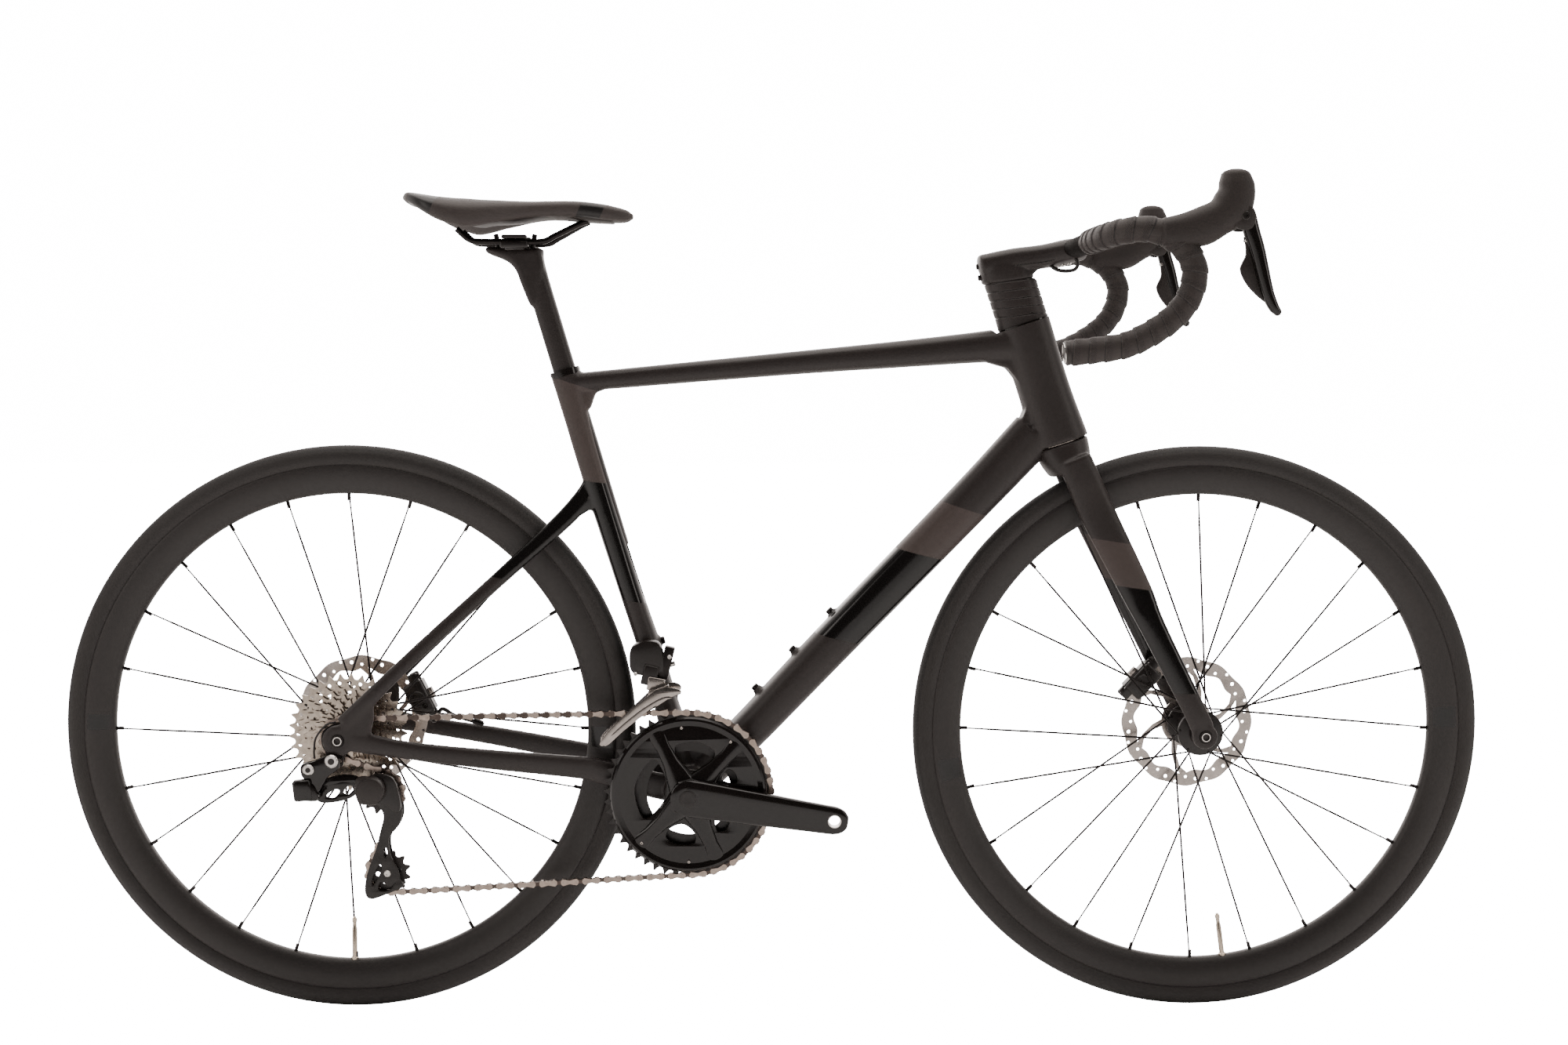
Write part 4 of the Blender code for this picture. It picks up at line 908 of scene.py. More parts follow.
# %% Build both wheels
HOOP_STEPS = 192
WHEELS = (("front", FRONT, "front_wheel", 0.0470, 0.0240, -0.0330, 0.0395, 0.0130, -1.43, (0.05, -2.98)),
          ("rear", REAR, "rear_wheel", 0.0200, 0.0330, -0.0160, 0.0555, 0.0150, -1.578, (3.12, -0.03)))
for name, centre, body, half, left, right, disc_y, barrel, valve_at, patches in WHEELS:
    show(name + "_tyre_casing", turned(tyre_profile(), centre, count=HOOP_STEPS),
         tyre_rubber(name + "_rubber", centre), body, "rubber", name + "_tyre", sharp=math.radians(50))
    show(name + "_rim_hoop", turned(rim_profile(), centre, count=HOOP_STEPS),
         rim_coat(name + "_rim_coat", centre, patches), body, "gloss_black", name + "_rim",
         sharp=math.radians(50))
    show(name + "_hub_shell", hub_mesh(centre, half, left, right, barrel), satin_black, body,
         "black_alloy", name + "_hub")
    show(name + "_spoke_set", spoke_meshes(centre, left, right), black_alloy, body, "black_alloy",
         name + "_spokes")
    show(name + "_nipples", nipple_mesh(centre), black_alloy, body, "black_alloy")
    show(name + "_valve", valve_mesh(centre, valve_at), brass, body, "steel")
    track, carrier = rotor_mesh(centre, disc_y)
    show(name + "_rotor_track", track, steel, body, "steel", name + "_brake_rotor")
    show(name + "_rotor_carrier", carrier, steel, body, "steel")
    lock = turned(((0.0130, 0.0), (0.0215, 0.0), (0.0215, 0.0022), (0.0195, 0.0032), (0.0130, 0.0032)),
                  (centre.x, disc_y + 0.0010, centre.z), count=36)
    show(name + "_lock_ring", lock, black_alloy, body, "black_alloy")

# %% [markdown]
# ## Frame and fork
# The real frame is laid up in a mould, so its tubes flow into each other with soft fillets. Lofts
# give each tube its measured section. A voxel remesh melts the lofts into one skin, and a few
# passes of smoothing round the joints. The bore for the seatpost is cut afterwards, so that it
# stays crisp and the post can slide in it.

# %% Main frame
POST = (0.0270, 0.0220)


def seat_row(distance, depth, width, back=0.0):
    at = BB + SEAT_UP * distance
    return (at.x - back, at.z, 106.5, depth, width)


tubes = [
    flowing([seat_row(0.010, 0.040, 0.058), seat_row(0.100, 0.0300, 0.046, -0.0008),
             seat_row(0.180, 0.0280, 0.039, -0.0012), seat_row(0.245, 0.0270, 0.036, 0.0008),
             seat_row(0.385, 0.0285, 0.033, 0.0030), seat_row(0.460, 0.0300, 0.032, 0.0022),
             seat_row(0.515, 0.0350, 0.031)], sides=28),
    flowing([(-0.1000, 0.2700, 46.5, 0.044, 0.066), (-0.0342, 0.3331, 46.5, 0.0457, 0.060),
             (0.0672, 0.4399, 46.5, 0.0494, 0.052), (0.2324, 0.6120, 46.5, 0.0525, 0.046),
             (0.3080, 0.6930, 46.5, 0.0560, 0.044)], sides=32, square=2.7),
    flowing([(-0.2480, 0.7512, 5.2, 0.0225, 0.029), (-0.2150, 0.7540, 5.2, 0.0225, 0.030),
             (0.0100, 0.7744, 5.4, 0.0271, 0.036), (0.1500, 0.7863, 5.8, 0.0320, 0.040),
             (0.2540, 0.7957, 6.0, 0.0380, 0.043), (0.2920, 0.7990, 6.0, 0.0460, 0.044)],
            sides=28, square=2.8),
    flowing([(0.3400, 0.6822, 108.3, 0.0660, 0.058), (0.3180, 0.7470, 106.0, 0.0610, 0.053),
             (0.2922, 0.8256, 108.3, 0.0630, 0.0535)], sides=36, square=2.6),
    turned(((0.0200, -0.0430), (0.0278, -0.0430), (0.0290, -0.0400), (0.0290, 0.0400),
            (0.0278, 0.0430), (0.0200, 0.0430)), BB, count=48),
    plate([(-0.1170, 0.3420), (-0.0700, 0.3250), (-0.0600, 0.2900), (-0.1100, 0.2700), (-0.1350, 0.3000)],
          [], 0.0, 0.044),
    plate([(0.2400, 0.7850), (0.2494, 0.7769), (0.2740, 0.7700), (0.2868, 0.7538), (0.2983, 0.7288),
           (0.2900, 0.7060), (0.3200, 0.7000), (0.3100, 0.8000)], [], 0.0, 0.034),
    plate([(-0.1960, 0.7460), (-0.2120, 0.7400), (-0.2180, 0.7220), (-0.2400, 0.7300), (-0.2300, 0.7600)],
          [], 0.0, 0.020),
    plate([(-0.2263, 0.6368), (-0.2350, 0.6200), (-0.2440, 0.6080), (-0.2300, 0.5950), (-0.2050, 0.6100)],
          [], 0.0, 0.024),
]
for distance in (0.140, 0.204, 0.268):
    lean = math.radians(46.0)
    normal = Vector((-math.sin(lean), 0.0, math.cos(lean)))
    foot = BB + Vector((math.cos(lean), 0.0, math.sin(lean))) * distance + normal * 0.016
    tubes.append(turned(((0.0, 0.0), (0.0064, 0.0), (0.0058, 0.0102), (0.0, 0.0102)), foot, normal, 20))
SEAT_FRONT = Vector((math.sin(SEAT_ANGLE), 0.0, math.cos(SEAT_ANGLE)))
for distance in (0.178, 0.114):
    foot = BB + SEAT_UP * distance + SEAT_FRONT * 0.010
    tubes.append(turned(((0.0, 0.0), (0.0064, 0.0), (0.0058, 0.0078), (0.0, 0.0078)), foot, SEAT_FRONT, 20))

DROPOUT_Y = 0.0770
for side in (-1, 1):
    tubes.append(flowing([(-0.1180, 0.2715, 170.0, 0.034, 0.012, 0.0250 * side),
                          (-0.1410, 0.2755, 170.0, 0.032, 0.013, 0.0290 * side),
                          (-0.2050, 0.2935, 168.0, 0.029, 0.014, 0.0345 * side),
                          (-0.2330, 0.3000, 168.0, 0.027, 0.014, 0.0415 * side),
                          (-0.3366, 0.3150, 172.0, 0.0235, 0.0125, 0.0665 * side),
                          (-0.4300, 0.3280, 172.0, 0.0215, 0.0105, DROPOUT_Y * side),
                          (-0.4900, 0.3390, 170.0, 0.0270, 0.0100, DROPOUT_Y * side)], sides=20))
    tubes.append(flowing([(-0.2160, 0.6270, 225.0, 0.028, 0.012, 0.0050 * side),
                          (-0.2330, 0.6080, 225.0, 0.023, 0.013, 0.0095 * side),
                          (-0.2620, 0.5785, 225.0, 0.0205, 0.0125, 0.0200 * side),
                          (-0.3300, 0.5170, 222.0, 0.0168, 0.0108, 0.0440 * side),
                          (-0.4030, 0.4505, 222.0, 0.0165, 0.0105, 0.0640 * side),
                          (-0.4600, 0.3960, 224.0, 0.0180, 0.0103, DROPOUT_Y * side),
                          (-0.4980, 0.3560, 226.0, 0.0240, 0.0098, DROPOUT_Y * side)], sides=20))
    tubes.append(plate([(-0.4640, 0.3850), (-0.4840, 0.3740), (-0.4990, 0.3500), (-0.4900, 0.3300),
                        (-0.4600, 0.3270), (-0.4690, 0.3420), (-0.4640, 0.3620)], [],
                       DROPOUT_Y * side, 0.0090))
    tubes.append(turned(((0.0, 0.0722), (0.0178, 0.0722), (0.0182, 0.0740), (0.0182, 0.0800),
                         (0.0172, 0.0816), (0.0, 0.0816)) if side > 0 else
                        ((0.0, -0.0816), (0.0172, -0.0816), (0.0182, -0.0800), (0.0182, -0.0740),
                         (0.0178, -0.0722), (0.0, -0.0722)), REAR, count=32))
FRAME_VOXEL, FRAME_PASSES = 0.0021, 4
frame_skin = melted(together(*tubes), FRAME_VOXEL, FRAME_PASSES)
bore = flowing([seat_row(0.235, POST[0] + 0.0006, POST[1] + 0.0006),
                seat_row(0.560, POST[0] + 0.0006, POST[1] + 0.0006)], 1)
CROWN, HEAD_LENGTH = Vector((0.340418, 0.0, 0.680600)), 0.1482
LID_RADIUS, LID_TALL = 0.0400, 0.0200
lid = turned(((0.0, 0.0), (LID_RADIUS, 0.0), (LID_RADIUS, LID_TALL), (0.0, LID_TALL)),
             CROWN + HEAD_UP * HEAD_LENGTH, HEAD_UP, 48)
frame_skin = carved(frame_skin, bore, lid)
show("frame_skin", frame_skin, frame_paint, "frame", "frame_paint", "main_frame", "right_rear_stays",
     "left_rear_stays", sharp=math.radians(60))

# %% Fork
blades = [flowing([(0.3403, 0.6800, 108.3, 0.0640, 0.0560), (0.3455, 0.6640, 109.0, 0.0600, 0.0660),
                   (0.3505, 0.6500, 110.0, 0.0500, 0.0760)], 4, 32, rounded=0.003)]
for side in (-1, 1):
    blades.append(flowing([(0.3520, 0.6620, -67.0, 0.040, 0.018, 0.0290 * side),
                           (0.3620, 0.6390, -67.0, 0.041, 0.016, 0.0310 * side),
                           (0.3800, 0.5980, -66.0, 0.042, 0.015, 0.0325 * side),
                           (0.4240, 0.5092, -65.0, 0.037, 0.014, 0.0430 * side),
                           (0.4430, 0.4675, -65.0, 0.0305, 0.013, 0.0485 * side),
                           (0.4890, 0.3760, -62.0, 0.027, 0.011, 0.0560 * side),
                           (0.5030, 0.3470, -60.0, 0.028, 0.0105, 0.0562 * side)], sides=24, rounded=0.004))
    low, high = sorted((0.0512 * side, 0.0612 * side))
    blades.append(turned(((0.0, low), (0.0138, low), (0.0148, low + 0.001), (0.0148, high - 0.001),
                          (0.0138, high), (0.0, high)), FRONT, count=32))
show("fork_skin", melted(together(*blades), 0.0018, 4), fork_paint, "steering", "frame_paint", "fork",
     sharp=math.radians(60))

# %% [markdown]
# ## Bolts, axle ends and frame hardware
# Small steel and black bolts mark every joint: five for bottle cages, the axle ends, the hanger.
# Each is a turned head with a key socket, because the dark socket is what the eye reads as a bolt.

# %% Cage bolts and axle ends
lean = math.radians(46.0)
down_normal = Vector((-math.sin(lean), 0.0, math.cos(lean)))
heads = []
for distance in (0.140, 0.204, 0.268):
    foot = BB + Vector((math.cos(lean), 0.0, math.sin(lean))) * distance + down_normal * 0.0265
    heads.append(bolt(foot, down_normal, 0.0046, 0.0030))
seat_normal = Vector((math.sin(math.radians(73.5)), 0.0, math.cos(math.radians(73.5))))
for distance in (0.178, 0.114):
    heads.append(bolt(BB + SEAT_UP * distance + seat_normal * 0.0182, seat_normal, 0.0046, 0.0030))
show("cage_bolts", together(*heads), black_alloy, "frame", "black_alloy")


def washer(at, side, inner, outer, height):
    """Bevelled ring that lies on a side face."""
    low, high = sorted((0.0, height * side))
    return turned(((inner, low), (outer - (0.0006 if side < 0 else 0.0), low),
                   (outer - (0.0 if side < 0 else 0.0006), high), (inner, high)), at, count=32)


for name, centre, face, body in (("rear", REAR, 0.0816, "frame"), ("front", FRONT, 0.0612, "steering")):
    near = Vector((centre.x, -face, centre.z))
    far = Vector((centre.x, face, centre.z))
    show(name + "_axle_ring", together(washer(near, -1, 0.0048, 0.0078, 0.0012),
                                       washer(far, 1, 0.0048, 0.0078, 0.0012)),
         black_alloy, body, "steel")
    rims = together(washer(near, -1, 0.0041, 0.0058, 0.0026), washer(far, 1, 0.0041, 0.0058, 0.0026))
    show(name + "_axle_rims", rims, silver, body, "steel")
    caps = together(bolt(near + Vector((0, 0.0014, 0)), (0, -1, 0), 0.0047, 0.0022, 0.62),
                    bolt(far - Vector((0, 0.0014, 0)), (0, 1, 0), 0.0047, 0.0022, 0.62))
    show(name + "_axle_sockets", caps, black_alloy, body, "black_alloy")

hanger = plate(smooth_loop([(-0.5230, 0.3500), (-0.5050, 0.3580), (-0.4900, 0.3480), (-0.4900, 0.3300),
                            (-0.5000, 0.3180), (-0.5020, 0.3080), (-0.5110, 0.3050), (-0.5200, 0.3090),
                            (-0.5210, 0.3220), (-0.5260, 0.3350)]),
               [circle(REAR.x, REAR.z, 0.0064, 20)], -0.0703, 0.0030, 0.0004)
show("hanger_plate", hanger, black_alloy, "frame", "black_alloy", "derailleur_hanger")

# %% [markdown]
# ## Headset spacers, stem and bar
# The spacers are split rings that clip together round the hoses, so each side shows a small
# stepped joint. Five separate rings with a gap between them throw the thin dark lines that one
# solid block could not. The stem is melted from a clamp and an arm like the frame.

# %% Spacers
LOW, HIGH, RINGS = 0.1490, 0.2010, 5
step_height = (HIGH - LOW) / RINGS
for index in range(RINGS):
    rings = []
    for share, grow in ((0.02, -0.0011), (0.10, 0.0), (0.86, 0.0), (0.94, -0.0011)):
        at = CROWN + HEAD_UP * (LOW + (index + share) * step_height)
        slope = 108.3 if index == 0 and share < 0.5 else 97.0
        rings.append(section(at.x, at.z, slope, 0.0612 + grow, 0.0424 + grow, sides=48, square=2.7))
    stands_for = {0: ("spacer_stack_1",), 3: ("spacer_stack_2",)}.get(index, ())
    show("spacer_%d" % (index + 1), skin(rings), satin_paint, "steering", "frame_paint", *stands_for)

core_low, core_high = CROWN + HEAD_UP * (LOW - 0.0010), CROWN + HEAD_UP * (HIGH + 0.0010)
core = skin([section(at.x, at.z, slope, 0.0590, 0.0405, sides=40, square=2.7)
             for at, slope in ((core_low + HEAD_UP * 0.0016, 108.3), (core_high, 97.0))])
show("spacer_core", core, satin_black, "steering", "black_alloy")

clasps = []
for side in (-1, 1):
    for index in range(RINGS):
        at = CROWN + HEAD_UP * (LOW + (index + 0.5) * step_height)
        x = at.x + 0.0085
        for shift, tall, wide in ((0.0, 0.0080, 0.0011), (0.0024, 0.0012, 0.0048)):
            clasps.append(block((x + shift - wide / 2, 0.0196 * side - 0.0012, at.z - tall / 2 - shift),
                                (x + shift + wide / 2, 0.0196 * side + 0.0012, at.z + tall / 2 - shift),
                                0.0003, -math.radians(7.0)))
show("spacer_clasps", together(*clasps), gloss_black, "steering", "frame_paint")
cover = skin([section(at.x, at.z, 108.3, 0.0600, 0.0430, sides=48, square=2.6)
              for at in (CROWN + HEAD_UP * 0.1483, CROWN + HEAD_UP * 0.1497)])
show("headset_cover", cover, gloss_black, "steering", "frame_paint")

# %% Stem with its side line, rear bolts and hose loop
clamp = flowing([(0.2745, 0.8730, 98.0, 0.0612, 0.0424), (0.2715, 0.8850, 98.0, 0.0605, 0.0424),
                 (0.2690, 0.8960, 100.0, 0.0560, 0.0400)], 3, 36, 2.7, rounded=0.004)
arm = flowing([(0.2440, 0.8895, 12.0, 0.0270, 0.0390), (0.2800, 0.8960, 11.0, 0.0290, 0.0420),
               (0.3150, 0.9010, 11.0, 0.0280, 0.0450), (0.3450, 0.9070, 11.0, 0.0290, 0.0600),
               (0.3600, 0.9095, 11.0, 0.0260, 0.0660)], 4, 32, 2.9, rounded=0.005)
elbow = plate([(0.2900, 0.8720), (0.3010, 0.8780), (0.3080, 0.8850), (0.3200, 0.8890), (0.3200, 0.9000),
               (0.2800, 0.9000)], [], 0.0, 0.0300)
show("stem_skin", melted(together(clamp, arm, elbow), 0.0013, 5), satin_paint, "steering", "frame_paint",
     "stem", sharp=math.radians(60))
line = []
for side in (-1, 1):
    line.append(round_tube([(0.2600, 0.0196 * side, 0.8860), (0.2900, 0.0206 * side, 0.8905),
                            (0.3150, 0.0216 * side, 0.8930), (0.3330, 0.0240 * side, 0.8985)], 0.0005,
                           gloss_black))
show("stem_side_lines", together(*line), gloss_black, "steering", "frame_paint")
rear_axis = Vector((-0.955, 0.0, -0.12))
show("stem_rear_bolts", together(bolt((0.2400, 0.0, 0.8890), rear_axis, 0.0034, 0.0028),
                                 bolt((0.2424, 0.0, 0.8760), rear_axis, 0.0034, 0.0028)),
     black_alloy, "steering", "black_alloy")
loop = round_tube([(0.3480, -0.0240, 0.9010), (0.3530, -0.0250, 0.8920), (0.3500, -0.0240, 0.8850),
                   (0.3400, -0.0200, 0.8830), (0.3300, -0.0160, 0.8850), (0.3230, -0.0120, 0.8900)],
                  0.0022, hose_black)
show("bar_hose_loop", loop, hose_black, "steering", "rubber")
show("stem_front_bolts", together(bolt((0.3380, -0.0120, 0.8925), (0.1, 0, -1), 0.0028, 0.0030),
                                  bolt((0.3450, -0.0120, 0.8940), (0.1, 0, -1), 0.0028, 0.0030),
                                  bolt((0.3380, 0.0120, 0.8925), (0.1, 0, -1), 0.0028, 0.0030)),
     silver, "steering", "silver_alloy")

# %% [markdown]
# ## Bar tape
# Tape is wound from the end of the drop upwards, each turn lapping over the last, so the surface
# is a shallow saw-tooth spiral. The mesh makes the laps, and its UV map measures metres along and
# around the bar, so the row of small punched holes beside each lap follows the winding.

# %% Tape finish
WRAP = 0.0172
tape_finish = Finish("bar_tape", (0.026, 0.021, 0.020), 0.62)
uv = tape_finish.node("ShaderNodeUVMap", {"uv_map": "wound"}, {})
length, around, _ = tape_finish.axes(uv)
turns = length / WRAP
share = turns - turns.math("FLOOR", turns)
dots = (share * (2 * math.pi * 9)).math("SINE", share * (2 * math.pi * 9)) \
    * around.math("SINE", around * (2 * math.pi * 420.0))
band = tape_finish.above(share, 0.58, 0.02) * (1 - tape_finish.above(share, 0.92, 0.02))
holes = tape_finish.above(dots, 0.35, 0.15) * band
foam = tape_finish.noise(tape_finish.place(), 800.0, 3.0)
soft = tape_finish.noise(tape_finish.place(), 40.0, 2.0)
tone = tape_finish.blend(soft, (0.0260, 0.0200, 0.0182), (0.0400, 0.0310, 0.0280))
# Painted shade: a thin dark line where each lap steps over the last. The punched holes take the same
# near-black colour.
painted_lap_shade = 1 - tape_finish.above(share, 0.05, 0.03)
tape_finish.set("Base Color", tape_finish.blend(holes * 0.8 + painted_lap_shade, tone, (0.005, 0.004, 0.004)))
tape_finish.set("Roughness", 0.54 + foam * 0.14 + holes * 0.1)
tape_finish.bump(foam * 0.4 - holes, 0.00025)
print("tape laps every", WRAP, "m")

# %% Wind the tape
BAR = ((0.3510, 0.000, 0.9095), (0.3510, 0.090, 0.9095), (0.3550, 0.160, 0.9110),
       (0.3700, 0.196, 0.9150), (0.3950, 0.211, 0.9170), (0.4180, 0.215, 0.9100),
       (0.4380, 0.215, 0.8930), (0.4463, 0.216, 0.8698), (0.4380, 0.217, 0.8400),
       (0.4150, 0.218, 0.8160), (0.3766, 0.219, 0.7948), (0.3400, 0.220, 0.7880),
       (0.3110, 0.220, 0.7850))


def bar_path(side, steps=16):
    return between([(x, y * side, z) for x, y, z in BAR], steps)


def evenly(path, spacing):
    """Points at equal spacing along a path."""
    made, walked, target = [path[0]], 0.0, spacing
    for before, after in zip(path, path[1:]):
        reach = (after - before).length
        while walked + reach >= target:
            made.append(before.lerp(after, (target - walked) / reach))
            target += spacing
        walked += reach
    return made


def wound_tape(side):
    spacing, count = 0.0014, 24
    path = evenly(bar_path(side), spacing)
    path = [point for point in path if abs(point.y) > 0.112]
    bm = bmesh.new()
    uv_layer = bm.loops.layers.uv.new("wound")
    rows = []
    u = ACROSS
    for index, centre in enumerate(path):
        tangent = (path[min(index + 1, len(path) - 1)] - path[max(index - 1, 0)]).normalized()
        u = (u - tangent * u.dot(tangent)).normalized() if index else tangent.orthogonal().normalized()
        v = tangent.cross(u)
        row = []
        for step in range(count):
            phase = 2 * math.pi * step / count
            along = index * spacing + 0.0035 * math.sin(phase)
            lap = (along / WRAP) % 1.0
            radius = 0.0133 + 0.0013 * lap
            ends = min(index, len(path) - 1 - index) * spacing
            radius -= 0.0016 * max(0.0, 1.0 - ends / 0.004) ** 2
            place = centre + (u * math.cos(phase) + v * math.sin(phase)) * radius
            row.append((bm.verts.new(place), along, phase * 0.0143))
        rows.append(row)
    for low, high in zip(rows, rows[1:]):
        for step in range(count):
            after = (step + 1) % count
            corners = (low[step], low[after], high[after], high[step])
            face = bm.faces.new([corner[0] for corner in corners])
            for place, (loop_item, corner) in enumerate(zip(face.loops, corners)):
                around_at = corner[2] if after or place in (0, 3) else 2 * math.pi * 0.0143
                loop_item[uv_layer].uv = (corner[1], around_at)
    bm.faces.new([item[0] for item in rows[0]])
    bm.faces.new([item[0] for item in rows[-1]])
    return finished(bm)


for side, word in ((-1, "right"), (1, "left")):
    show("bar_tape_wound_" + word, wound_tape(side), tape_finish, "steering", "grip", "bar_tape_" + word,
         sharp=math.radians(28))
    end = Vector((0.3110, 0.220 * side, 0.7850))
    out = (end - Vector((0.3400, 0.220 * side, 0.7880))).normalized()
    plug = turned(((0.0, -0.004), (0.0118, -0.004), (0.0132, -0.0005), (0.0134, 0.0022),
                   (0.0118, 0.0034), (0.0112, 0.0036), (0.0, 0.0036)), end, out, 40)
    show("bar_plug_" + word, plug, plastic, "steering", "plastic")
    ring_shape = turned(((0.0092, 0.0030), (0.0116, 0.0030), (0.0112, 0.0044), (0.0096, 0.0044)),
                        end, out, 40)
    show("bar_plug_ring_" + word, ring_shape, silver, "steering", "silver_alloy")

bare = [point for point in reversed(bar_path(-1, 6))] + bar_path(1, 6)[1:]
bare = [point for point in bare if abs(point.y) < 0.130]
rings = [[centre + Vector((0.0118 * math.cos(phase) * (1.0 + 0.25 * (abs(centre.y) < 0.10)), 0.0,
                           0.0112 * math.sin(phase))) for phase in
          [2 * math.pi * step / 28 for step in range(28)]] for centre in bare]
bar_coat = moulded("bar_coat", (0.0100, 0.0080, 0.0075), 0.80, 900.0, 0.00005)
bar_coat.node_tree.nodes["Principled BSDF"].inputs["Specular IOR Level"].default_value = 0.06
show("bar_tops", skin(rings), bar_coat, "steering", "black_alloy", "handlebar")

# %% [markdown]
# ## Hoods, brake levers and shift paddles
# The hood is one soft moulding that grows out of the bar and stands up in a horn at the front. The
# gloss lever hangs from a pivot in it, and the satin paddle hangs behind the lever and moves with
# it. Lofts through a few measured sections give these soft shapes.

# %% Hoods and levers
for side, word in ((-1, "right"), (1, "left")):
    y = 0.215 * side
    hood = flowing([(0.4130, 0.9130, 2.0, 0.0315, 0.0330, y), (0.4330, 0.9150, 7.0, 0.0370, 0.0350, y),
                    (0.4550, 0.9205, 14.0, 0.0420, 0.0380, y), (0.4712, 0.9291, 27.0, 0.0390, 0.0380, y),
                    (0.4835, 0.9395, 50.0, 0.0440, 0.0370, y), (0.4890, 0.9530, 72.0, 0.0395, 0.0355, y),
                    (0.4893, 0.9650, 85.0, 0.0370, 0.0335, y), (0.4880, 0.9735, 92.0, 0.0310, 0.0290, y)],
                   7, 32, 2.5, rounded=0.0072)
    show("hood_" + word, hood, hood_rubber, "steering", "grip", "brake_hood_" + word,
         sharp=math.radians(60))
    blade = flowing([(0.5020, 0.9320, -80.0, 0.0170, 0.0140, y), (0.5060, 0.9150, -76.0, 0.0175, 0.0150, y),
                     (0.5125, 0.8950, -73.0, 0.0165, 0.0150, y), (0.5185, 0.8720, -73.0, 0.0150, 0.0140, y),
                     (0.5250, 0.8490, -68.0, 0.0130, 0.0130, y), (0.5315, 0.8345, -58.0, 0.0110, 0.0120, y),
                     (0.5365, 0.8285, -45.0, 0.0080, 0.0100, y)], 6, 24, 2.6, rounded=0.0030)
    show("lever_" + word, blade, gloss_black, word + "_lever", "gloss_black", "brake_lever_" + word,
         sharp=math.radians(60))
    loop_points = smooth_loop([(0.4985, 0.9085), (0.5000, 0.9020), (0.5008, 0.8900), (0.4965, 0.8800),
                               (0.4952, 0.8740), (0.4990, 0.8640), (0.5070, 0.8530), (0.5180, 0.8430),
                               (0.5240, 0.8400), (0.5210, 0.8530), (0.5150, 0.8750), (0.5085, 0.8980),
                               (0.5035, 0.9090)], 4)
    paddle = plate(loop_points, [], y - 0.0025 * side, 0.0052, 0.0014)
    show("paddle_" + word, paddle, plastic, word + "_paddle", "plastic", "shift_paddle_" + word)
    cheek = smooth_loop([(0.4840, 0.9300), (0.4930, 0.9400), (0.5030, 0.9390), (0.5070, 0.9290),
                         (0.5030, 0.9170), (0.4930, 0.9150), (0.4840, 0.9200)], 4)
    cheeks = [plate(cheek, [], y + face * 0.0135, 0.0034, 0.0010) for face in (-1, 1)]
    show("lever_bracket_" + word, together(*cheeks), plastic, "steering", "plastic")
    pivots = []
    for face in (-1, 1):
        pivots.append(bolt((0.4960, y + face * 0.0155, 0.9300), (0, face, 0), 0.0046, 0.0016, 0.42))
        pivots.append(bolt((0.5010, y + face * 0.0030 - 0.0025 * side, 0.9050), (0, face, 0), 0.0019, 0.0016))
    show("lever_pivots_" + word, together(pivots[0], pivots[2]), satin_black, "steering", "black_alloy")
    show("paddle_screws_" + word, together(pivots[1], pivots[3]), silver, word + "_paddle", "steel")

# %% [markdown]
# ## Brakes
# Each caliper is a small dark casting that straddles the rotor. A rounded body, a banjo fitting, two
# mounting bolts and a finned pad holder say caliper at this size. The pads stay as they are in the
# solid model, because only their edges show.

# %% Calipers and the front hose
def caliper(name, disc_y, pad_at, tilt, body, node):
    about = Vector((pad_at.x, disc_y, pad_at.z))
    along = Vector((math.cos(tilt), 0.0, -math.sin(tilt)))
    up = Vector((math.sin(tilt), 0.0, math.cos(tilt)))
    halves = []
    for side in (-1, 1):
        halves.append(block((-0.021, -0.0045, -0.0125), (0.021, 0.0045, 0.0125), 0.0035, tilt,
                            about + Vector((0, side * 0.0079, 0)) + up * 0.004))
        halves.append(block((-0.031, -0.0035, -0.0060), (0.031, 0.0035, 0.0060), 0.0025, tilt,
                            about + Vector((0, side * 0.0072, 0)) + up * 0.0090))
        at = about + Vector((0, side * 0.0120, 0)) + up * 0.003
        halves.append(turned(((0.0, -0.0016), (0.0098, -0.0016), (0.0100, 0.0004), (0.0090, 0.0014),
                              (0.0060, 0.0014), (0.0056, 0.0006), (0.0, 0.0006)), at,
                             ACROSS * side, 28))
    halves.append(block((-0.020, -0.0085, -0.0020), (0.020, 0.0085, 0.0020), 0.0012, tilt,
                        about + up * 0.0158))
    show(name + "_caliper_body", together(*halves), satin_black, body, "black_alloy", node)
    fins = [block((-0.0060, -0.0007, -0.0040), (0.0060, 0.0007, 0.0040), 0.0005, tilt,
                  about + Vector((0, shift, 0)) + up * 0.0185)
            for shift in (-0.0036, -0.0012, 0.0012, 0.0036)]
    show(name + "_pad_fins", together(*fins), cage_steel, body, "steel")
    heads = [bolt(about + along * reach + up * 0.0140 + Vector((0, -0.0072, 0)), up, 0.0034, 0.0040)
             for reach in (-0.0255, 0.0255)]
    heads.append(bolt(about + along * 0.012 + Vector((0, -0.0125, 0)) + up * 0.008, (0, -1, 0),
                      0.0030, 0.0024))
    show(name + "_caliper_bolts", together(*heads), black_alloy, body, "black_alloy")
    return about, along, up


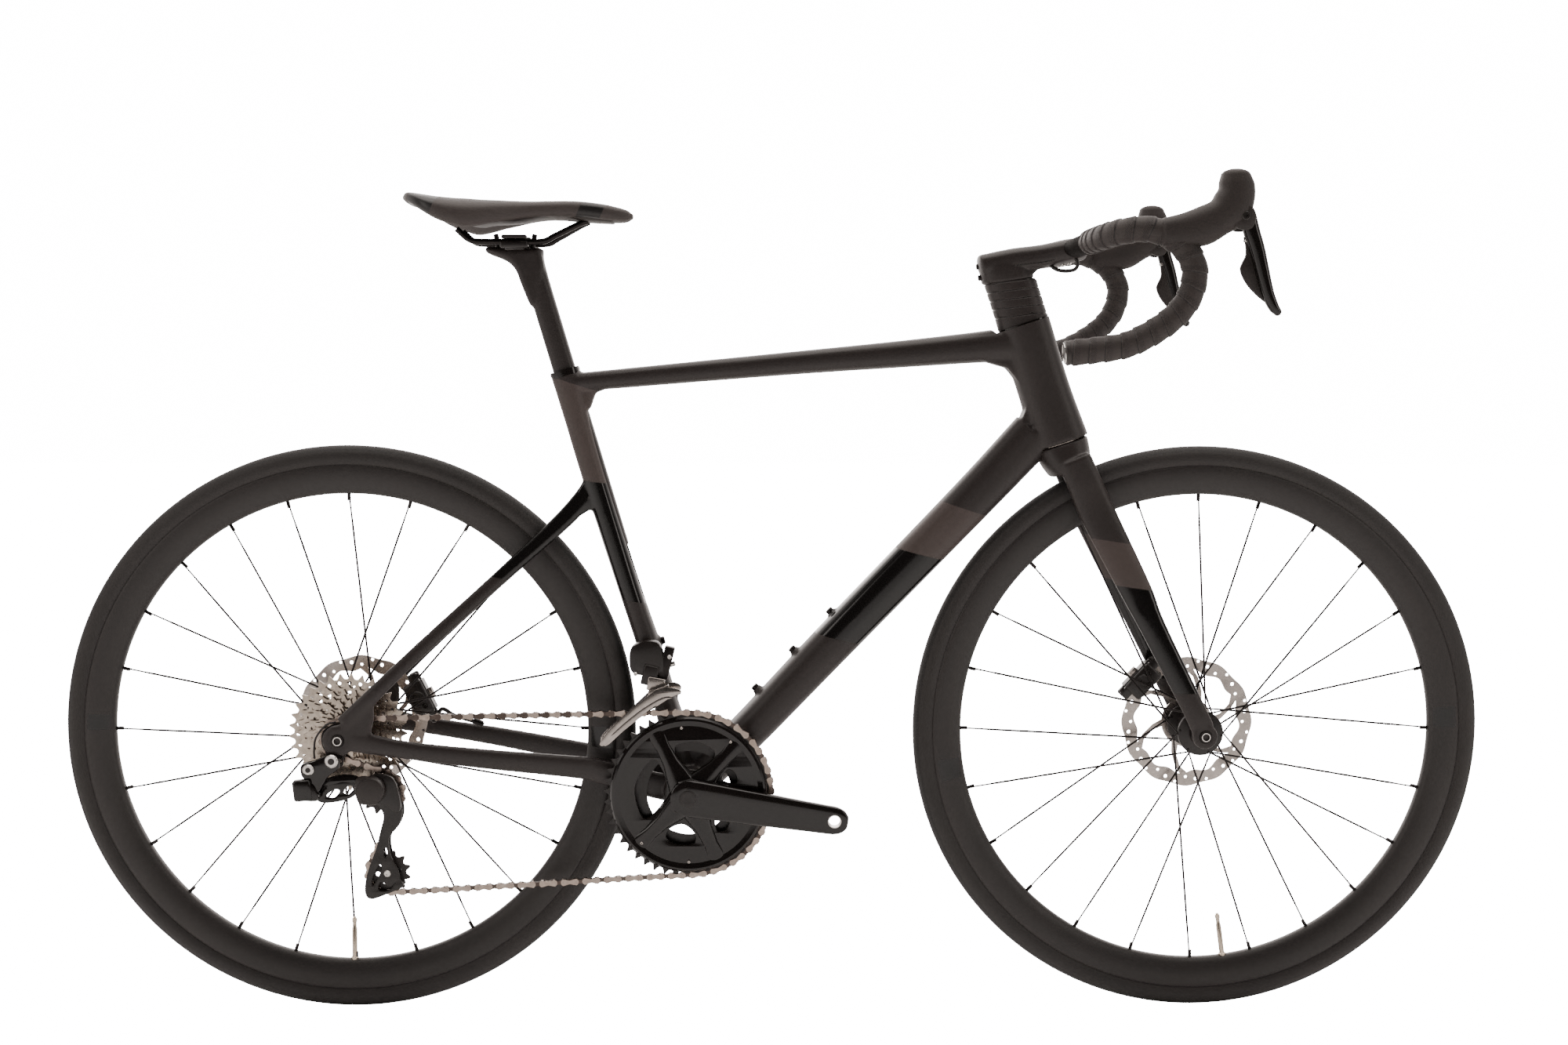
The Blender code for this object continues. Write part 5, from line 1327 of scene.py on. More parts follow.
front_pads = middle_of("front_brake_pad_left")
rear_pads = middle_of("rear_brake_pad_left")
outward = (Vector((front_pads.x, 0, front_pads.z)) - FRONT).normalized()
about, along, up = caliper("front", 0.0395, Vector((front_pads.x, 0, front_pads.z)),
                           math.atan2(outward.x, outward.z), "steering", "front_brake_caliper")
hose_route = [about + along * 0.026 + up * 0.004, about + along * 0.036 + up * 0.003,
              Vector((0.4720, 0.0445, 0.4160)), Vector((0.4640, 0.0480, 0.4330)),
              Vector((0.4540, 0.0490, 0.4470))]
show("front_brake_hose", round_tube(hose_route, 0.0024, hose_black), hose_black, "steering", "rubber")
outward = (Vector((rear_pads.x, 0, rear_pads.z)) - REAR).normalized()
about, along, up = caliper("rear", 0.0555, Vector((rear_pads.x, 0, rear_pads.z)),
                           math.atan2(outward.x, outward.z) - math.radians(5.0), "frame",
                           "rear_brake_caliper")
rear_route = [about + along * 0.024 + up * 0.006, about + along * 0.034 + up * 0.007,
              Vector((-0.4080, 0.0560, 0.3520)), Vector((-0.3930, 0.0560, 0.3440)),
              Vector((-0.3740, 0.0570, 0.3380)), Vector((-0.3570, 0.0585, 0.3320))]
show("rear_hose_run", round_tube(rear_route, 0.0025, hose_black), hose_black, "frame", "rubber",
     "rear_brake_hose")
ferrule = turned(((0.0, -0.006), (0.0036, -0.006), (0.0040, 0.0), (0.0036, 0.006), (0.0, 0.006)),
                 (-0.3640, 0.0578, 0.3350), Vector((0.92, 0.0, -0.34)), 20)
show("rear_hose_ferrule", ferrule, black_alloy, "frame", "black_alloy")

# %% [markdown]
# ## Sprockets
# A sprocket is a disc with a rounded gap for every tooth and rows of holes that save weight. One
# helper draws the outline from the tooth count: half an inch between teeth sets the radius. The
# cassette is twelve of them on one body, so its teeth and holes catch light at every depth.

# %% Sprocket outlines
def pitch_radius(teeth):
    return PITCH / (2.0 * math.sin(math.pi / teeth))


def tooth_loop(centre, teeth, reach, root=0.0036, turn=0.0, fine=1):
    """Outline with one pointed, slightly flat-topped tooth for each pitch."""
    radius = pitch_radius(teeth)
    shape = ((0.00, -root), (0.18, -root * 0.86), (0.30, -root * 0.25), (0.40, reach * 0.62),
             (0.46, reach), (0.54, reach), (0.60, reach * 0.62), (0.70, -root * 0.25), (0.82, -root * 0.86))
    loop = []
    for tooth in range(teeth):
        for share, height in shape[::fine]:
            phase = turn + 2.0 * math.pi * (tooth + share) / teeth
            loop.append((centre.x + (radius + height) * math.cos(phase),
                         centre.z + (radius + height) * math.sin(phase)))
    return loop


def ring_of_holes(centre, radius, count, size, turn=0.0, sides=10):
    return [circle(centre.x + radius * math.cos(turn + 2 * math.pi * index / count),
                   centre.z + radius * math.sin(turn + 2 * math.pi * index / count), size, sides)
            for index in range(count)]


COGS = (10, 11, 12, 13, 14, 15, 17, 19, 21, 24, 28, 33)
FIRST_COG, COG_STEP = -0.0645, 0.00356
cogs = []
for index, teeth in enumerate(COGS):
    y = FIRST_COG + index * COG_STEP
    radius = pitch_radius(teeth)
    bore = 0.0176 if teeth < 15 else max(0.0178, radius - 0.0175)
    bore = min(bore, radius - 0.0062) if teeth >= 12 else radius - 0.0052
    holes = [circle(REAR.x, REAR.z, bore, 40)]
    if teeth >= 17:
        holes += ring_of_holes(REAR, radius - 0.0079, teeth - 3, 0.0021, 0.1 * index)
    if teeth >= 24:
        holes += ring_of_holes(REAR, radius - 0.0132, teeth // 2, 0.0024, 0.2 * index)
    cogs.append(plate(tooth_loop(REAR, teeth, 0.0030, turn=0.37 * index), holes, y, 0.0016))
show("cassette_sprockets", together(*cogs), sprocket_steel, "cassette", "steel", "cassette")
arms = []
for index in range(5):
    phase = 2 * math.pi * index / 5
    for y, reach in ((-0.0310, 0.0460), (-0.0275, 0.0540)):
        points = [(REAR.x + radius * math.cos(phase + swing), REAR.z + radius * math.sin(phase + swing))
                  for radius, swing in ((0.0180, -0.22), (reach, -0.07), (reach, 0.07), (0.0180, 0.22))]
        arms.append(plate(points, [], y, 0.0020))
drum = turned(((0.0130, -0.0668), (0.0166, -0.0668), (0.0170, -0.0660), (0.0172, -0.0250),
               (0.0130, -0.0250)), REAR, count=40)
show("cassette_carrier", together(drum, *arms), sprocket_steel, "cassette", "steel", "freehub_body")
cap = turned(((0.0100, -0.0668), (0.0158, -0.0672), (0.0166, -0.0682), (0.0160, -0.0692), (0.0120, -0.0690),
              (0.0100, -0.0680)), REAR, count=40)
show("cassette_lock_ring", cap, steel, "cassette", "steel")

# %% [markdown]
# ## Chain
# A chain is two kinds of link taken in turn. Each link is two waisted plates with its pins and
# rollers, and Geometry Nodes set one on every pitch of the closed path round the big ring, the
# second sprocket and both jockey wheels. The path drifts sideways on its free runs, because the
# sprocket isn't in line with the ring.

# %% The path of the chain
COG_Y = FIRST_COG + COG_STEP


def chain_path(spacing):
    """Even points on the closed path round the four wheels that carry the chain."""
    wheels = [(Vector((BB.x, RING_Y, BB.z)), pitch_radius(48), 1), (Vector((REAR.x, COG_Y, REAR.z)),
              pitch_radius(11), 1), (GUIDE, pitch_radius(12), -1), (TENSION, pitch_radius(12), 1)]
    runs = []
    for index, (c1, r1, s1) in enumerate(wheels):
        c2, r2, s2 = wheels[(index + 1) % 4]
        gap = Vector((c2.x - c1.x, c2.z - c1.z))
        angle = math.atan2(gap.y, gap.x) + math.asin((s1 * r1 - s2 * r2) / gap.length)
        normal = Vector((math.sin(angle), 0.0, -math.cos(angle)))
        runs.append((c1 + normal * s1 * r1, c2 + normal * s2 * r2))
    path = []
    for index, (centre, radius, turn) in enumerate(wheels):
        arrive, leave = runs[index - 1][1], runs[index][0]
        a = math.atan2(arrive.z - centre.z, arrive.x - centre.x)
        b = math.atan2(leave.z - centre.z, leave.x - centre.x)
        sweep = (b - a) % (2 * math.pi) if turn > 0 else -((a - b) % (2 * math.pi))
        for step in range(60):
            phase = a + sweep * step / 60
            path.append(Vector((centre.x + radius * math.cos(phase), centre.y,
                                centre.z + radius * math.sin(phase))))
        start, end = runs[index]
        for step in range(60):
            share = step / 60
            point = start.lerp(end, share)
            drift = min(1.0, max(0.0, (share - 0.1) / 0.8))
            point.y = start.y + (end.y - start.y) * drift
            path.append(point)
    path.append(path[0])
    length = sum((after - before).length for before, after in zip(path, path[1:]))
    count = 2 * round(length / spacing / 2)
    return evenly(path, length / count * 0.99999)[:count], count


# %% Links set on the path by the tree
def link_plate(y, thick, wide, waist):
    loop = []
    for end, side in ((1, 1), (-1, -1)):
        for step in range(7):
            phase = math.radians(-70.0 + 140.0 * step / 6)
            loop.append((end * (PITCH / 2 + wide * math.cos(phase)), side * wide * math.sin(phase)))
        loop.append((0.0, side * waist))
    return plate(loop, [], y, thick)


def link(outer):
    y = 0.00215 if outer else 0.00135
    parts = [link_plate(side * y, 0.0007, 0.0042, 0.0021) for side in (-1, 1)]
    for end in (-1, 1):
        if outer:
            profile = ((0.0, -0.0027), (0.0016, -0.0027), (0.0018, -0.0024), (0.0018, 0.0024),
                       (0.0016, 0.0027), (0.0, 0.0027))
        else:
            profile = ((0.0, -0.0010), (0.0038, -0.0010), (0.0038, 0.0010), (0.0, 0.0010))
        parts.append(turned(profile, (end * PITCH / 2, 0.0, 0.0), count=10))
    return together(*parts)


points, count = chain_path(PITCH)
for outer, name in ((True, "chain_outer_links"), (False, "chain_inner_links")):
    places = []
    for index in range(0 if outer else 1, count, 2):
        here, after = points[index], points[(index + 1) % count]
        along = after - here
        yaw = math.asin(along.y / along.length)
        places.append(((here + after) / 2, (0.0, -math.atan2(along.z, along.x), yaw)))
    nodes = ("chain",) if outer else ()
    # Inner links take the darker steel, which is painted shade between the outer plates.
    finish = chain_steel if outer else chain_painted_shade
    show(name, repeated(link(outer), places, finish), finish, "frame", "chain_steel", *nodes)
print("chain of", count, "links")

# %% [markdown]
# ## Chainrings and cranks
# The big ring is covered by a hollow, dished plate that the four arms of the spider run into. Its
# windows show the inner ring's teeth. The arms stand at uneven angles, two close together above
# and two below, which leaves the wide gap for the crank arm. Everything here is deep gloss black,
# so the shapes are read from long highlights on rounded edges.

# %% Rings and their cover
RING_TEETH, SMALL_RING_TEETH, TOOTH_TALL = 48, 35, 0.0028
BOLT_CIRCLE, RING_THICK = 0.0800, 0.0018
ring_at = Vector((BB.x, RING_Y, BB.z))
outer_ring = plate(tooth_loop(ring_at, RING_TEETH, TOOTH_TALL, turn=0.03),
                   [circle(BB.x, BB.z, BOLT_CIRCLE, 72)], RING_Y, RING_THICK)
show("ring_outer_teeth", outer_ring, satin_black, "crank", "black_alloy", "chainring_outer")
SMALL_RING_Y = RING_Y + 0.0076
inner_at = Vector((BB.x, SMALL_RING_Y, BB.z))
inner_holes = [circle(BB.x, BB.z, 0.0500, 60)]
inner_ring = plate(tooth_loop(inner_at, SMALL_RING_TEETH, TOOTH_TALL, turn=0.11), inner_holes,
                   SMALL_RING_Y, RING_THICK)
tabs = [plate([(BB.x + radius * math.cos(phase + swing), BB.z + radius * math.sin(phase + swing))
               for radius, swing in ((0.0520, -0.20), (0.0520, 0.20), (0.0430, 0.12), (0.0430, -0.12))],
              [], SMALL_RING_Y, 0.0022)
        for phase in (math.radians(angle) for angle in (46, 118, 225, 294))]
show("ring_inner_teeth", together(inner_ring, *tabs), satin_black, "crank", "black_alloy",
     "chainring_inner")


def polar(angle, radius):
    turn = math.radians(angle)
    return (BB.x + radius * math.cos(turn), BB.z + radius * math.sin(turn))


windows = [smooth_loop([polar(60, 0.060), polar(82, 0.0635), polar(104, 0.060), polar(106, 0.046),
                        polar(82, 0.027), polar(58, 0.046)], 5),
           smooth_loop([polar(136, 0.060), polar(172, 0.0640), polar(207, 0.060), polar(205, 0.040),
                        polar(172, 0.026), polar(138, 0.040)], 5),
           smooth_loop([polar(243, 0.058), polar(259, 0.0610), polar(276, 0.058), polar(278, 0.046),
                        polar(259, 0.036), polar(241, 0.046)], 5),
           smooth_loop([polar(14, 0.057), polar(24, 0.0600), polar(33, 0.055), polar(24, 0.043)], 5),
           smooth_loop([polar(-34, 0.057), polar(-44, 0.0600), polar(-52, 0.055), polar(-43, 0.043)], 5)]
cover = plate(circle(BB.x, BB.z, 0.0905, 96), windows, RING_Y - 0.0030, 0.0040, 0.0008)
rim_shape = turned(((0.0790, RING_Y - 0.0010), (0.0925, RING_Y - 0.0010), (0.0925, RING_Y - 0.0030),
                    (0.0905, RING_Y - 0.0056), (0.0880, RING_Y - 0.0064), (0.0850, RING_Y - 0.0056),
                    (0.0800, RING_Y - 0.0046)), (BB.x, 0.0, BB.z), count=96)
show("ring_cover", together(cover, rim_shape), gloss_black, "crank", "gloss_black")

# %% Crank arms
spokes = []
for angle in (46, 118, 225, 294):
    turn = math.radians(angle)
    out = Vector((math.cos(turn), 0.0, math.sin(turn)))
    side = Vector((-math.sin(turn), 0.0, math.cos(turn)))
    rings = []
    for reach, wide, y, high in ((0.006, 0.040, -0.0560, 0.020), (0.024, 0.031, -0.0550, 0.016),
                                 (0.044, 0.020, -0.0530, 0.011), (0.064, 0.0170, -0.0515, 0.0080),
                                 (0.084, 0.0230, -0.0500, 0.0050)):
        centre = BB + out * reach + Vector((0.0, y, 0.0))
        rings.append([centre + side * math.cos(phase) * wide / 2 + ACROSS * math.sin(phase) * high / 2
                      for phase in [2 * math.pi * step / 20 for step in range(20)]])
    spokes.append(skin(rings))
down = -math.degrees(ARM_DROP)


def arm_row(distance, depth, width, y, flip):
    at = BB + Vector((math.cos(ARM_DROP), 0.0, -math.sin(ARM_DROP))) * distance * flip
    return (at.x, at.z, down, depth, width, y)


CRANK_LENGTH = 0.1725
for flip, side, word in ((1, -1, "right"), (-1, 1, "left")):
    rows = [arm_row(distance, depth, width, y * side, flip) for distance, depth, width, y in
            ((-0.014, 0.036, 0.016, 0.0650), (0.000, 0.044, 0.0190, 0.0655),
             (0.030, 0.0430, 0.0175, 0.0672), (0.060, 0.0405, 0.0160, 0.0690),
             (0.090, 0.0385, 0.0145, 0.0708), (0.130, 0.0355, 0.0125, 0.0730),
             (0.1600, 0.0335, 0.0120, 0.0740), (0.1740, 0.0320, 0.0120, 0.0740),
             (0.1830, 0.0250, 0.0116, 0.0740), (0.1875, 0.0150, 0.0105, 0.0740))]
    arm = flowing(rows, 5, 32, 4.0, rounded=0.0012)
    end = BB + Vector((math.cos(ARM_DROP), 0.0, -math.sin(ARM_DROP))) * CRANK_LENGTH * flip
    hole = turned(((0.0, 0.055 * side), (0.0070, 0.055 * side), (0.0070, 0.095 * side), (0.0, 0.095 * side)),
                  end, count=32)
    arm = carved(arm, hole)
    liner = turned(((0.0068, 0.0683 * side), (0.0078, 0.0683 * side), (0.0078, 0.0801 * side),
                    (0.0068, 0.0801 * side)), end, count=32)
    hub = turned(((0.0100, 0.0560 * side), (0.0205, 0.0560 * side), (0.0212, 0.0600 * side),
                  (0.0205, 0.0735 * side), (0.0190, 0.0745 * side), (0.0100, 0.0745 * side)), BB, count=48)
    extras = spokes if side < 0 else []
    show("crank_" + word, together(arm, hub, *extras), gloss_black, "crank", "gloss_black",
         "crank_arm_" + word, sharp=math.radians(45))
    show("pedal_thread_" + word, liner, silver, "crank", "steel")
    if side < 0:
        cap = turned(((0.0, 0.0), (0.0090, 0.0), (0.0098, -0.0008), (0.0096, -0.0018), (0.0050, -0.0022),
                      (0.0, -0.0012)), (BB.x, -0.0742, BB.z), count=36)
    else:
        cap = turned(((0.0, 0.0), (0.0096, 0.0), (0.0100, 0.0012), (0.0080, 0.0020), (0.0060, 0.0006),
                      (0.0, 0.0006)), (BB.x, 0.0744, BB.z), count=36)
    show("crank_cap_" + word, cap, satin_black, "crank", "black_alloy")
ring_bolts = [bolt((x, RING_Y - 0.0052, z), (0, -1, 0), 0.0018, 0.0014)
              for x, z in (polar(angle, BOLT_CIRCLE) for angle in (52, 96, 226, 270))]
show("ring_bolts", together(*ring_bolts), cage_steel, "crank", "steel")
spindle = turned(((0.0118, -0.0560), (0.0142, -0.0560), (0.0142, 0.0560), (0.0118, 0.0560)), BB, count=36)
show("crank_spindle", spindle, steel, "crank", "steel")

# %% [markdown]
# ## Rear derailleur
# It hangs from the hanger on a bolt. The upper knuckle carries the battery box, two links swing the
# lower knuckle across the cassette, and the long cage holds both jockey wheels. The links are a
# pair of pierced arms, so light shows through them.

# %% Upper knuckle, links and lower knuckle
upper = together(
    plate(smooth_loop([(-0.5460, 0.3120), (-0.5330, 0.3160), (-0.5120, 0.3240), (-0.5020, 0.3180),
                       (-0.5040, 0.3070), (-0.5150, 0.2990), (-0.5240, 0.2860), (-0.5320, 0.2740),
                       (-0.5400, 0.2900), (-0.5470, 0.3010)], 4), [], -0.0800, 0.0120, 0.0016),
    block((-0.5560, -0.0910, 0.2700), (-0.5340, -0.0772, 0.2950), 0.0038, math.radians(-6.0)),
    plate(smooth_loop([(-0.5540, 0.2740), (-0.5300, 0.2700), (-0.5270, 0.2780), (-0.5350, 0.2900),
                       (-0.5500, 0.2930)], 4), [], -0.0820, 0.0140, 0.0015))
show("rear_mech_knuckle_upper", upper, gloss_black, "frame", "gloss_black", "rear_mech_upper_knuckle")
show("rear_mech_bolts", together(bolt((-0.5111, -0.0856, 0.3165), (0, -1, 0), 0.0078, 0.0036, 0.42),
                                 bolt((-0.5379, -0.0856, 0.3066), (0, -1, 0), 0.0066, 0.0036, 0.34)),
     silver, "frame", "steel")
# Painted shade: thin dark discs laid over the mouths of the two bolts' key sockets stand for the shade inside
# them.
show("rear_mech_sockets", together(*[turned(((0.0, 0.0), (hole, 0.0), (hole, 0.0004), (0.0, 0.0004)),
                                            at, Vector((0.0, -1.0, 0.0)), 20)
                                     for at, hole in (((-0.5111, -0.0892, 0.3165), 0.0038),
                                                      ((-0.5379, -0.0892, 0.3066), 0.0030))]),
     satin_black, "frame", "black_alloy")
link_shape = plate(smooth_loop([(-0.5350, 0.2740), (-0.5320, 0.2860), (-0.5180, 0.2940), (-0.5000, 0.2975),
                                (-0.4850, 0.2950), (-0.4790, 0.2860), (-0.4850, 0.2760), (-0.4980, 0.2680),
                                (-0.5200, 0.2640), (-0.5310, 0.2660)], 4),
                   [smooth_loop([(-0.5220, 0.2720), (-0.5120, 0.2800), (-0.5060, 0.2780),
                                 (-0.5130, 0.2700)], 3),
                    smooth_loop([(-0.5020, 0.2760), (-0.4960, 0.2840), (-0.4890, 0.2820),
                                 (-0.4960, 0.2740)], 3)],
                   -0.0690, 0.0046, 0.0012)
link_ridge = plate(smooth_loop([(-0.5300, 0.2860), (-0.5180, 0.2925), (-0.5000, 0.2955), (-0.4860, 0.2930),
                                (-0.4880, 0.2880), (-0.5020, 0.2890), (-0.5180, 0.2850)], 4),
                   [], -0.0718, 0.0022, 0.0009)
show("rear_mech_link_arm", together(link_shape, link_ridge), gloss_black, "rear_mech_link", "gloss_black",
     "rear_mech_link")
disc = turned(((0.0, -0.0905), (0.0125, -0.0905), (0.0150, -0.0898), (0.0160, -0.0882), (0.0164, -0.0860),
               (0.0164, -0.0768), (0.0, -0.0768)), (CAGE_AT.x, 0.0, CAGE_AT.z), count=48)
bridge = plate(smooth_loop([(-0.4840, 0.2950), (-0.4700, 0.2975), (-0.4600, 0.2900), (-0.4650, 0.2680),
                            (-0.4780, 0.2660), (-0.4835, 0.2740)], 4), [], -0.0830, 0.0116, 0.0030)
show("rear_mech_knuckle_lower", together(disc, bridge), plastic, "rear_mech_knuckle", "plastic",
     "rear_mech_lower_knuckle")

# %% Cage and jockey wheels
shoulder_loop = smooth_loop([(-0.4640, 0.2990), (-0.4520, 0.2985), (-0.4420, 0.2930), (-0.4370, 0.2780),
                             (-0.4345, 0.2600), (-0.4400, 0.2540), (-0.4520, 0.2620), (-0.4660, 0.2630),
                             (-0.4780, 0.2700), (-0.4790, 0.2900)], 4)
cage_loop = smooth_loop([(-0.4640, 0.2800), (-0.4520, 0.2870), (-0.4420, 0.2890), (-0.4370, 0.2780),
                         (-0.4345, 0.2600), (-0.4345, 0.2480), (-0.4400, 0.2350), (-0.4490, 0.2240),
                         (-0.4500, 0.2120), (-0.4470, 0.1990), (-0.4400, 0.1850), (-0.4370, 0.1730),
                         (-0.4345, 0.1640), (-0.4520, 0.1560), (-0.4700, 0.1495), (-0.4780, 0.1540),
                         (-0.4785, 0.1680), (-0.4740, 0.1860), (-0.4650, 0.2100), (-0.4600, 0.2300),
                         (-0.4560, 0.2480), (-0.4620, 0.2600), (-0.4740, 0.2660), (-0.4720, 0.2750)], 4)
cut_one = smooth_loop([(-0.4570, 0.2060), (-0.4540, 0.2110), (-0.4520, 0.2040), (-0.4550, 0.1990)], 4)
cut_two = smooth_loop([(-0.4700, 0.1740), (-0.4620, 0.1900), (-0.4590, 0.1850), (-0.4660, 0.1700),
                       (-0.4700, 0.1660)], 4)
cut_three = smooth_loop([(-0.4600, 0.1700), (-0.4500, 0.1640), (-0.4440, 0.1680), (-0.4520, 0.1600),
                         (-0.4630, 0.1610)], 4)
outer_plate = plate(cage_loop, [cut_one, cut_two, cut_three], COG_Y - 0.0070, 0.0026, 0.0009)
shoulder = plate(shoulder_loop, [], -0.0740, 0.0048, 0.0012)
stub = turned(((0.0, -0.0740), (0.0095, -0.0740), (0.0095, -0.0680), (0.0, -0.0680)),
              (CAGE_AT.x + 0.008, 0.0, CAGE_AT.z - 0.008), count=32)
inner_plate = plate(cage_loop, [cut_one, cut_two, cut_three], COG_Y + 0.0058, 0.0016, 0.0004)
axles = [turned(((0.0, -0.0060), (0.0030, -0.0060), (0.0030, 0.0055), (0.0, 0.0055)), at, count=16)
         for at in (GUIDE, TENSION)]
show("rear_mech_cage_plates", together(outer_plate, inner_plate, shoulder, stub, *axles), satin_black,
     "rear_mech_cage", "gloss_black", "rear_mech_cage")
show("jockey_screws", bolt((TENSION.x, COG_Y - 0.0082, TENSION.z), (0, -1, 0), 0.0040, 0.0012, 0.4),
     silver, "rear_mech_cage", "steel")
for name, at in (("guide_pulley", GUIDE), ("tension_pulley", TENSION)):
    holes = [circle(at.x, at.z, 0.0034, 20)] + ring_of_holes(at, 0.0125, 6, 0.0030, 0.2)
    wheel = plate(tooth_loop(at, 12, 0.0016, 0.0040), holes, COG_Y, 0.0018)
    boss = turned(((0.0034, -0.0028), (0.0072, -0.0028), (0.0072, 0.0028), (0.0034, 0.0028)),
                  (at.x, COG_Y, at.z), count=24)
    show(name + "_wheel", together(wheel, boss), plastic, name, "plastic", name)
wire = round_tube([(-0.5080, -0.0735, 0.3600), (-0.5200, -0.0745, 0.3560), (-0.5310, -0.0760, 0.3420),
                   (-0.5330, -0.0780, 0.3270), (-0.5320, -0.0800, 0.3180)], 0.0012, hose_black)
show("rear_mech_wire_run", wire, hose_black, "frame", "rubber", "rear_mech_wire")

# %% [markdown]
# ## Front derailleur
# A motor box stands on a plate beside the seat tube, and pushes a bright cage of two pressed plates
# in and out. The outer plate's long stepped rib is what catches the light.

# %% Motor box and cage
motor_loop = smooth_loop([(-0.1680, 0.4110), (-0.1715, 0.4280), (-0.1680, 0.4420), (-0.1540, 0.4490),
                          (-0.1390, 0.4480), (-0.1330, 0.4400), (-0.1300, 0.4220), (-0.1330, 0.4090),
                          (-0.1500, 0.4070)], 5)
motor = together(plate(motor_loop, [], -0.0277, 0.0146, 0.0040),
                 block((-0.1560, -0.0380, 0.3960), (-0.1380, -0.0230, 0.4200), 0.0020, math.radians(14.0)))
show("front_mech_motor", motor, satin_black, "frame", "plastic", "front_mech_body")
arm_block = block((-0.1340, -0.0340, 0.4030), (-0.1220, -0.0210, 0.4420), 0.0020, math.radians(14.0))
show("front_mech_arm", arm_block, black_alloy, "frame", "black_alloy")
show("front_mech_bolts", together(bolt((-0.1240, -0.0345, 0.4300), (0, -1, 0), 0.0026, 0.0020),
                                  bolt((-0.1225, -0.0280, 0.4200), (0.9, 0, 0.3), 0.0028, 0.0050),
                                  bolt((-0.1640, -0.0350, 0.4100), (0, -1, 0), 0.0024, 0.0020)),
     silver, "frame", "steel")
outer_loop = smooth_loop([(-0.2045, 0.3320), (-0.1930, 0.3480), (-0.1720, 0.3680), (-0.1540, 0.3830),
                          (-0.1360, 0.3950), (-0.1180, 0.3965), (-0.1090, 0.3920), (-0.1180, 0.3870),
                          (-0.1360, 0.3800), (-0.1560, 0.3670), (-0.1780, 0.3500), (-0.1990, 0.3290)], 4)
inner_loop = smooth_loop([(-0.2045, 0.3360), (-0.1850, 0.3560), (-0.1650, 0.3740), (-0.1400, 0.3960),
                          (-0.1180, 0.4010), (-0.1100, 0.3930), (-0.1300, 0.3780), (-0.1540, 0.3620),
                          (-0.1780, 0.3430), (-0.1990, 0.3250)], 4)
rib = smooth_loop([(-0.1900, 0.3420), (-0.1600, 0.3680), (-0.1320, 0.3850), (-0.1200, 0.3850),
                   (-0.1330, 0.3800), (-0.1600, 0.3610), (-0.1850, 0.3410)], 4)
cage = together(plate(outer_loop, [], -0.0552, 0.0016, 0.0004),
                plate(inner_loop, [], -0.0410, 0.0016, 0.0004),
                plate(rib, [], -0.0563, 0.0012, 0.0003),
                block((-0.1480, -0.0556, 0.3860), (-0.1220, -0.0405, 0.3960), 0.0010, math.radians(-20.0)),
                block((-0.2040, -0.0556, 0.3280), (-0.2005, -0.0405, 0.3370), 0.0008, math.radians(20.0)),
                block((-0.1500, -0.0415, 0.3900), (-0.1300, -0.0355, 0.4060), 0.0015, math.radians(10.0)))
show("front_mech_cage_plates", cage, cage_steel, "front_mech_cage", "silver_alloy", "front_mech_cage")

# %% [markdown]
# ## Seatpost and saddle
# The post is an aero section that swells into a head, where a cradle with two bolts holds the
# rails. The saddle is a thin foam pad on a moulded shell. Its cover is tight, so the shape comes
# from a loft through measured sections, not from a cloth simulation. Gloss bands cross the tail
# and the nose.

# %% Post, cradle and rails
post = flowing([seat_row(0.300, POST[0], POST[1]), seat_row(0.450, POST[0], POST[1]),
                seat_row(0.560, POST[0], POST[1]), seat_row(0.640, POST[0] + 0.001, POST[1]),
                seat_row(0.662, 0.034, 0.024, -0.001)], 5, 32, 2.6)
head = plate(smooth_loop([(-0.3395, 0.9085), (-0.3385, 0.9045), (-0.3320, 0.9008), (-0.3230, 0.8975),
                          (-0.3120, 0.8920), (-0.3040, 0.8830), (-0.2990, 0.8700), (-0.2935, 0.8560),
                          (-0.2868, 0.8420), (-0.2780, 0.8420), (-0.2740, 0.8600), (-0.2705, 0.8860),
                          (-0.2745, 0.9060), (-0.2785, 0.9100), (-0.3000, 0.9085), (-0.3200, 0.9095),
                          (-0.3340, 0.9110)], 4), [], 0.0, 0.0235, 0.0050)
show("seatpost_skin", melted(together(post, head), 0.0014, 6), satin_paint, "seatpost", "frame_paint",
     "seatpost", sharp=math.radians(60))
cradle = [block((-0.3200, side * 0.0215 - 0.0070, 0.9080), (-0.2870, side * 0.0215 + 0.0070, 0.9165), 0.0025)
          for side in (-1, 1)]
cradle.append(block((-0.3150, -0.0240, 0.9060), (-0.2920, 0.0240, 0.9130), 0.0020))
cradle += [block((-0.3180, side * 0.0215 - 0.0060, 0.9190), (-0.2890, side * 0.0215 + 0.0060, 0.9235), 0.0018)
           for side in (-1, 1)]
show("saddle_cradle", together(*cradle), satin_black, "seatpost", "black_alloy")
show("cradle_bolts", together(bolt((-0.3240, 0.0, 0.9060), (-0.2, 0, 1), 0.0030, 0.0200),
                              bolt((-0.2860, 0.0, 0.9060), (0.2, 0, 1), 0.0030, 0.0200)),
     black_alloy, "seatpost", "black_alloy")
rails = [(-0.3700, 0.0240, 0.9300), (-0.3560, 0.0225, 0.9180), (-0.3420, 0.0220, 0.9155),
         (-0.3100, 0.0220, 0.9155), (-0.2720, 0.0220, 0.9155), (-0.2560, 0.0205, 0.9225),
         (-0.2300, 0.0130, 0.9360), (-0.2200, 0.0080, 0.9400)]
rail_pair = [round_tube([(x, y * side, z) for x, y, z in rails], 0.0035, black_alloy) for side in (-1, 1)]
show("saddle_rail_pair", together(*rail_pair), black_alloy, "saddle", "steel", "saddle_rails")

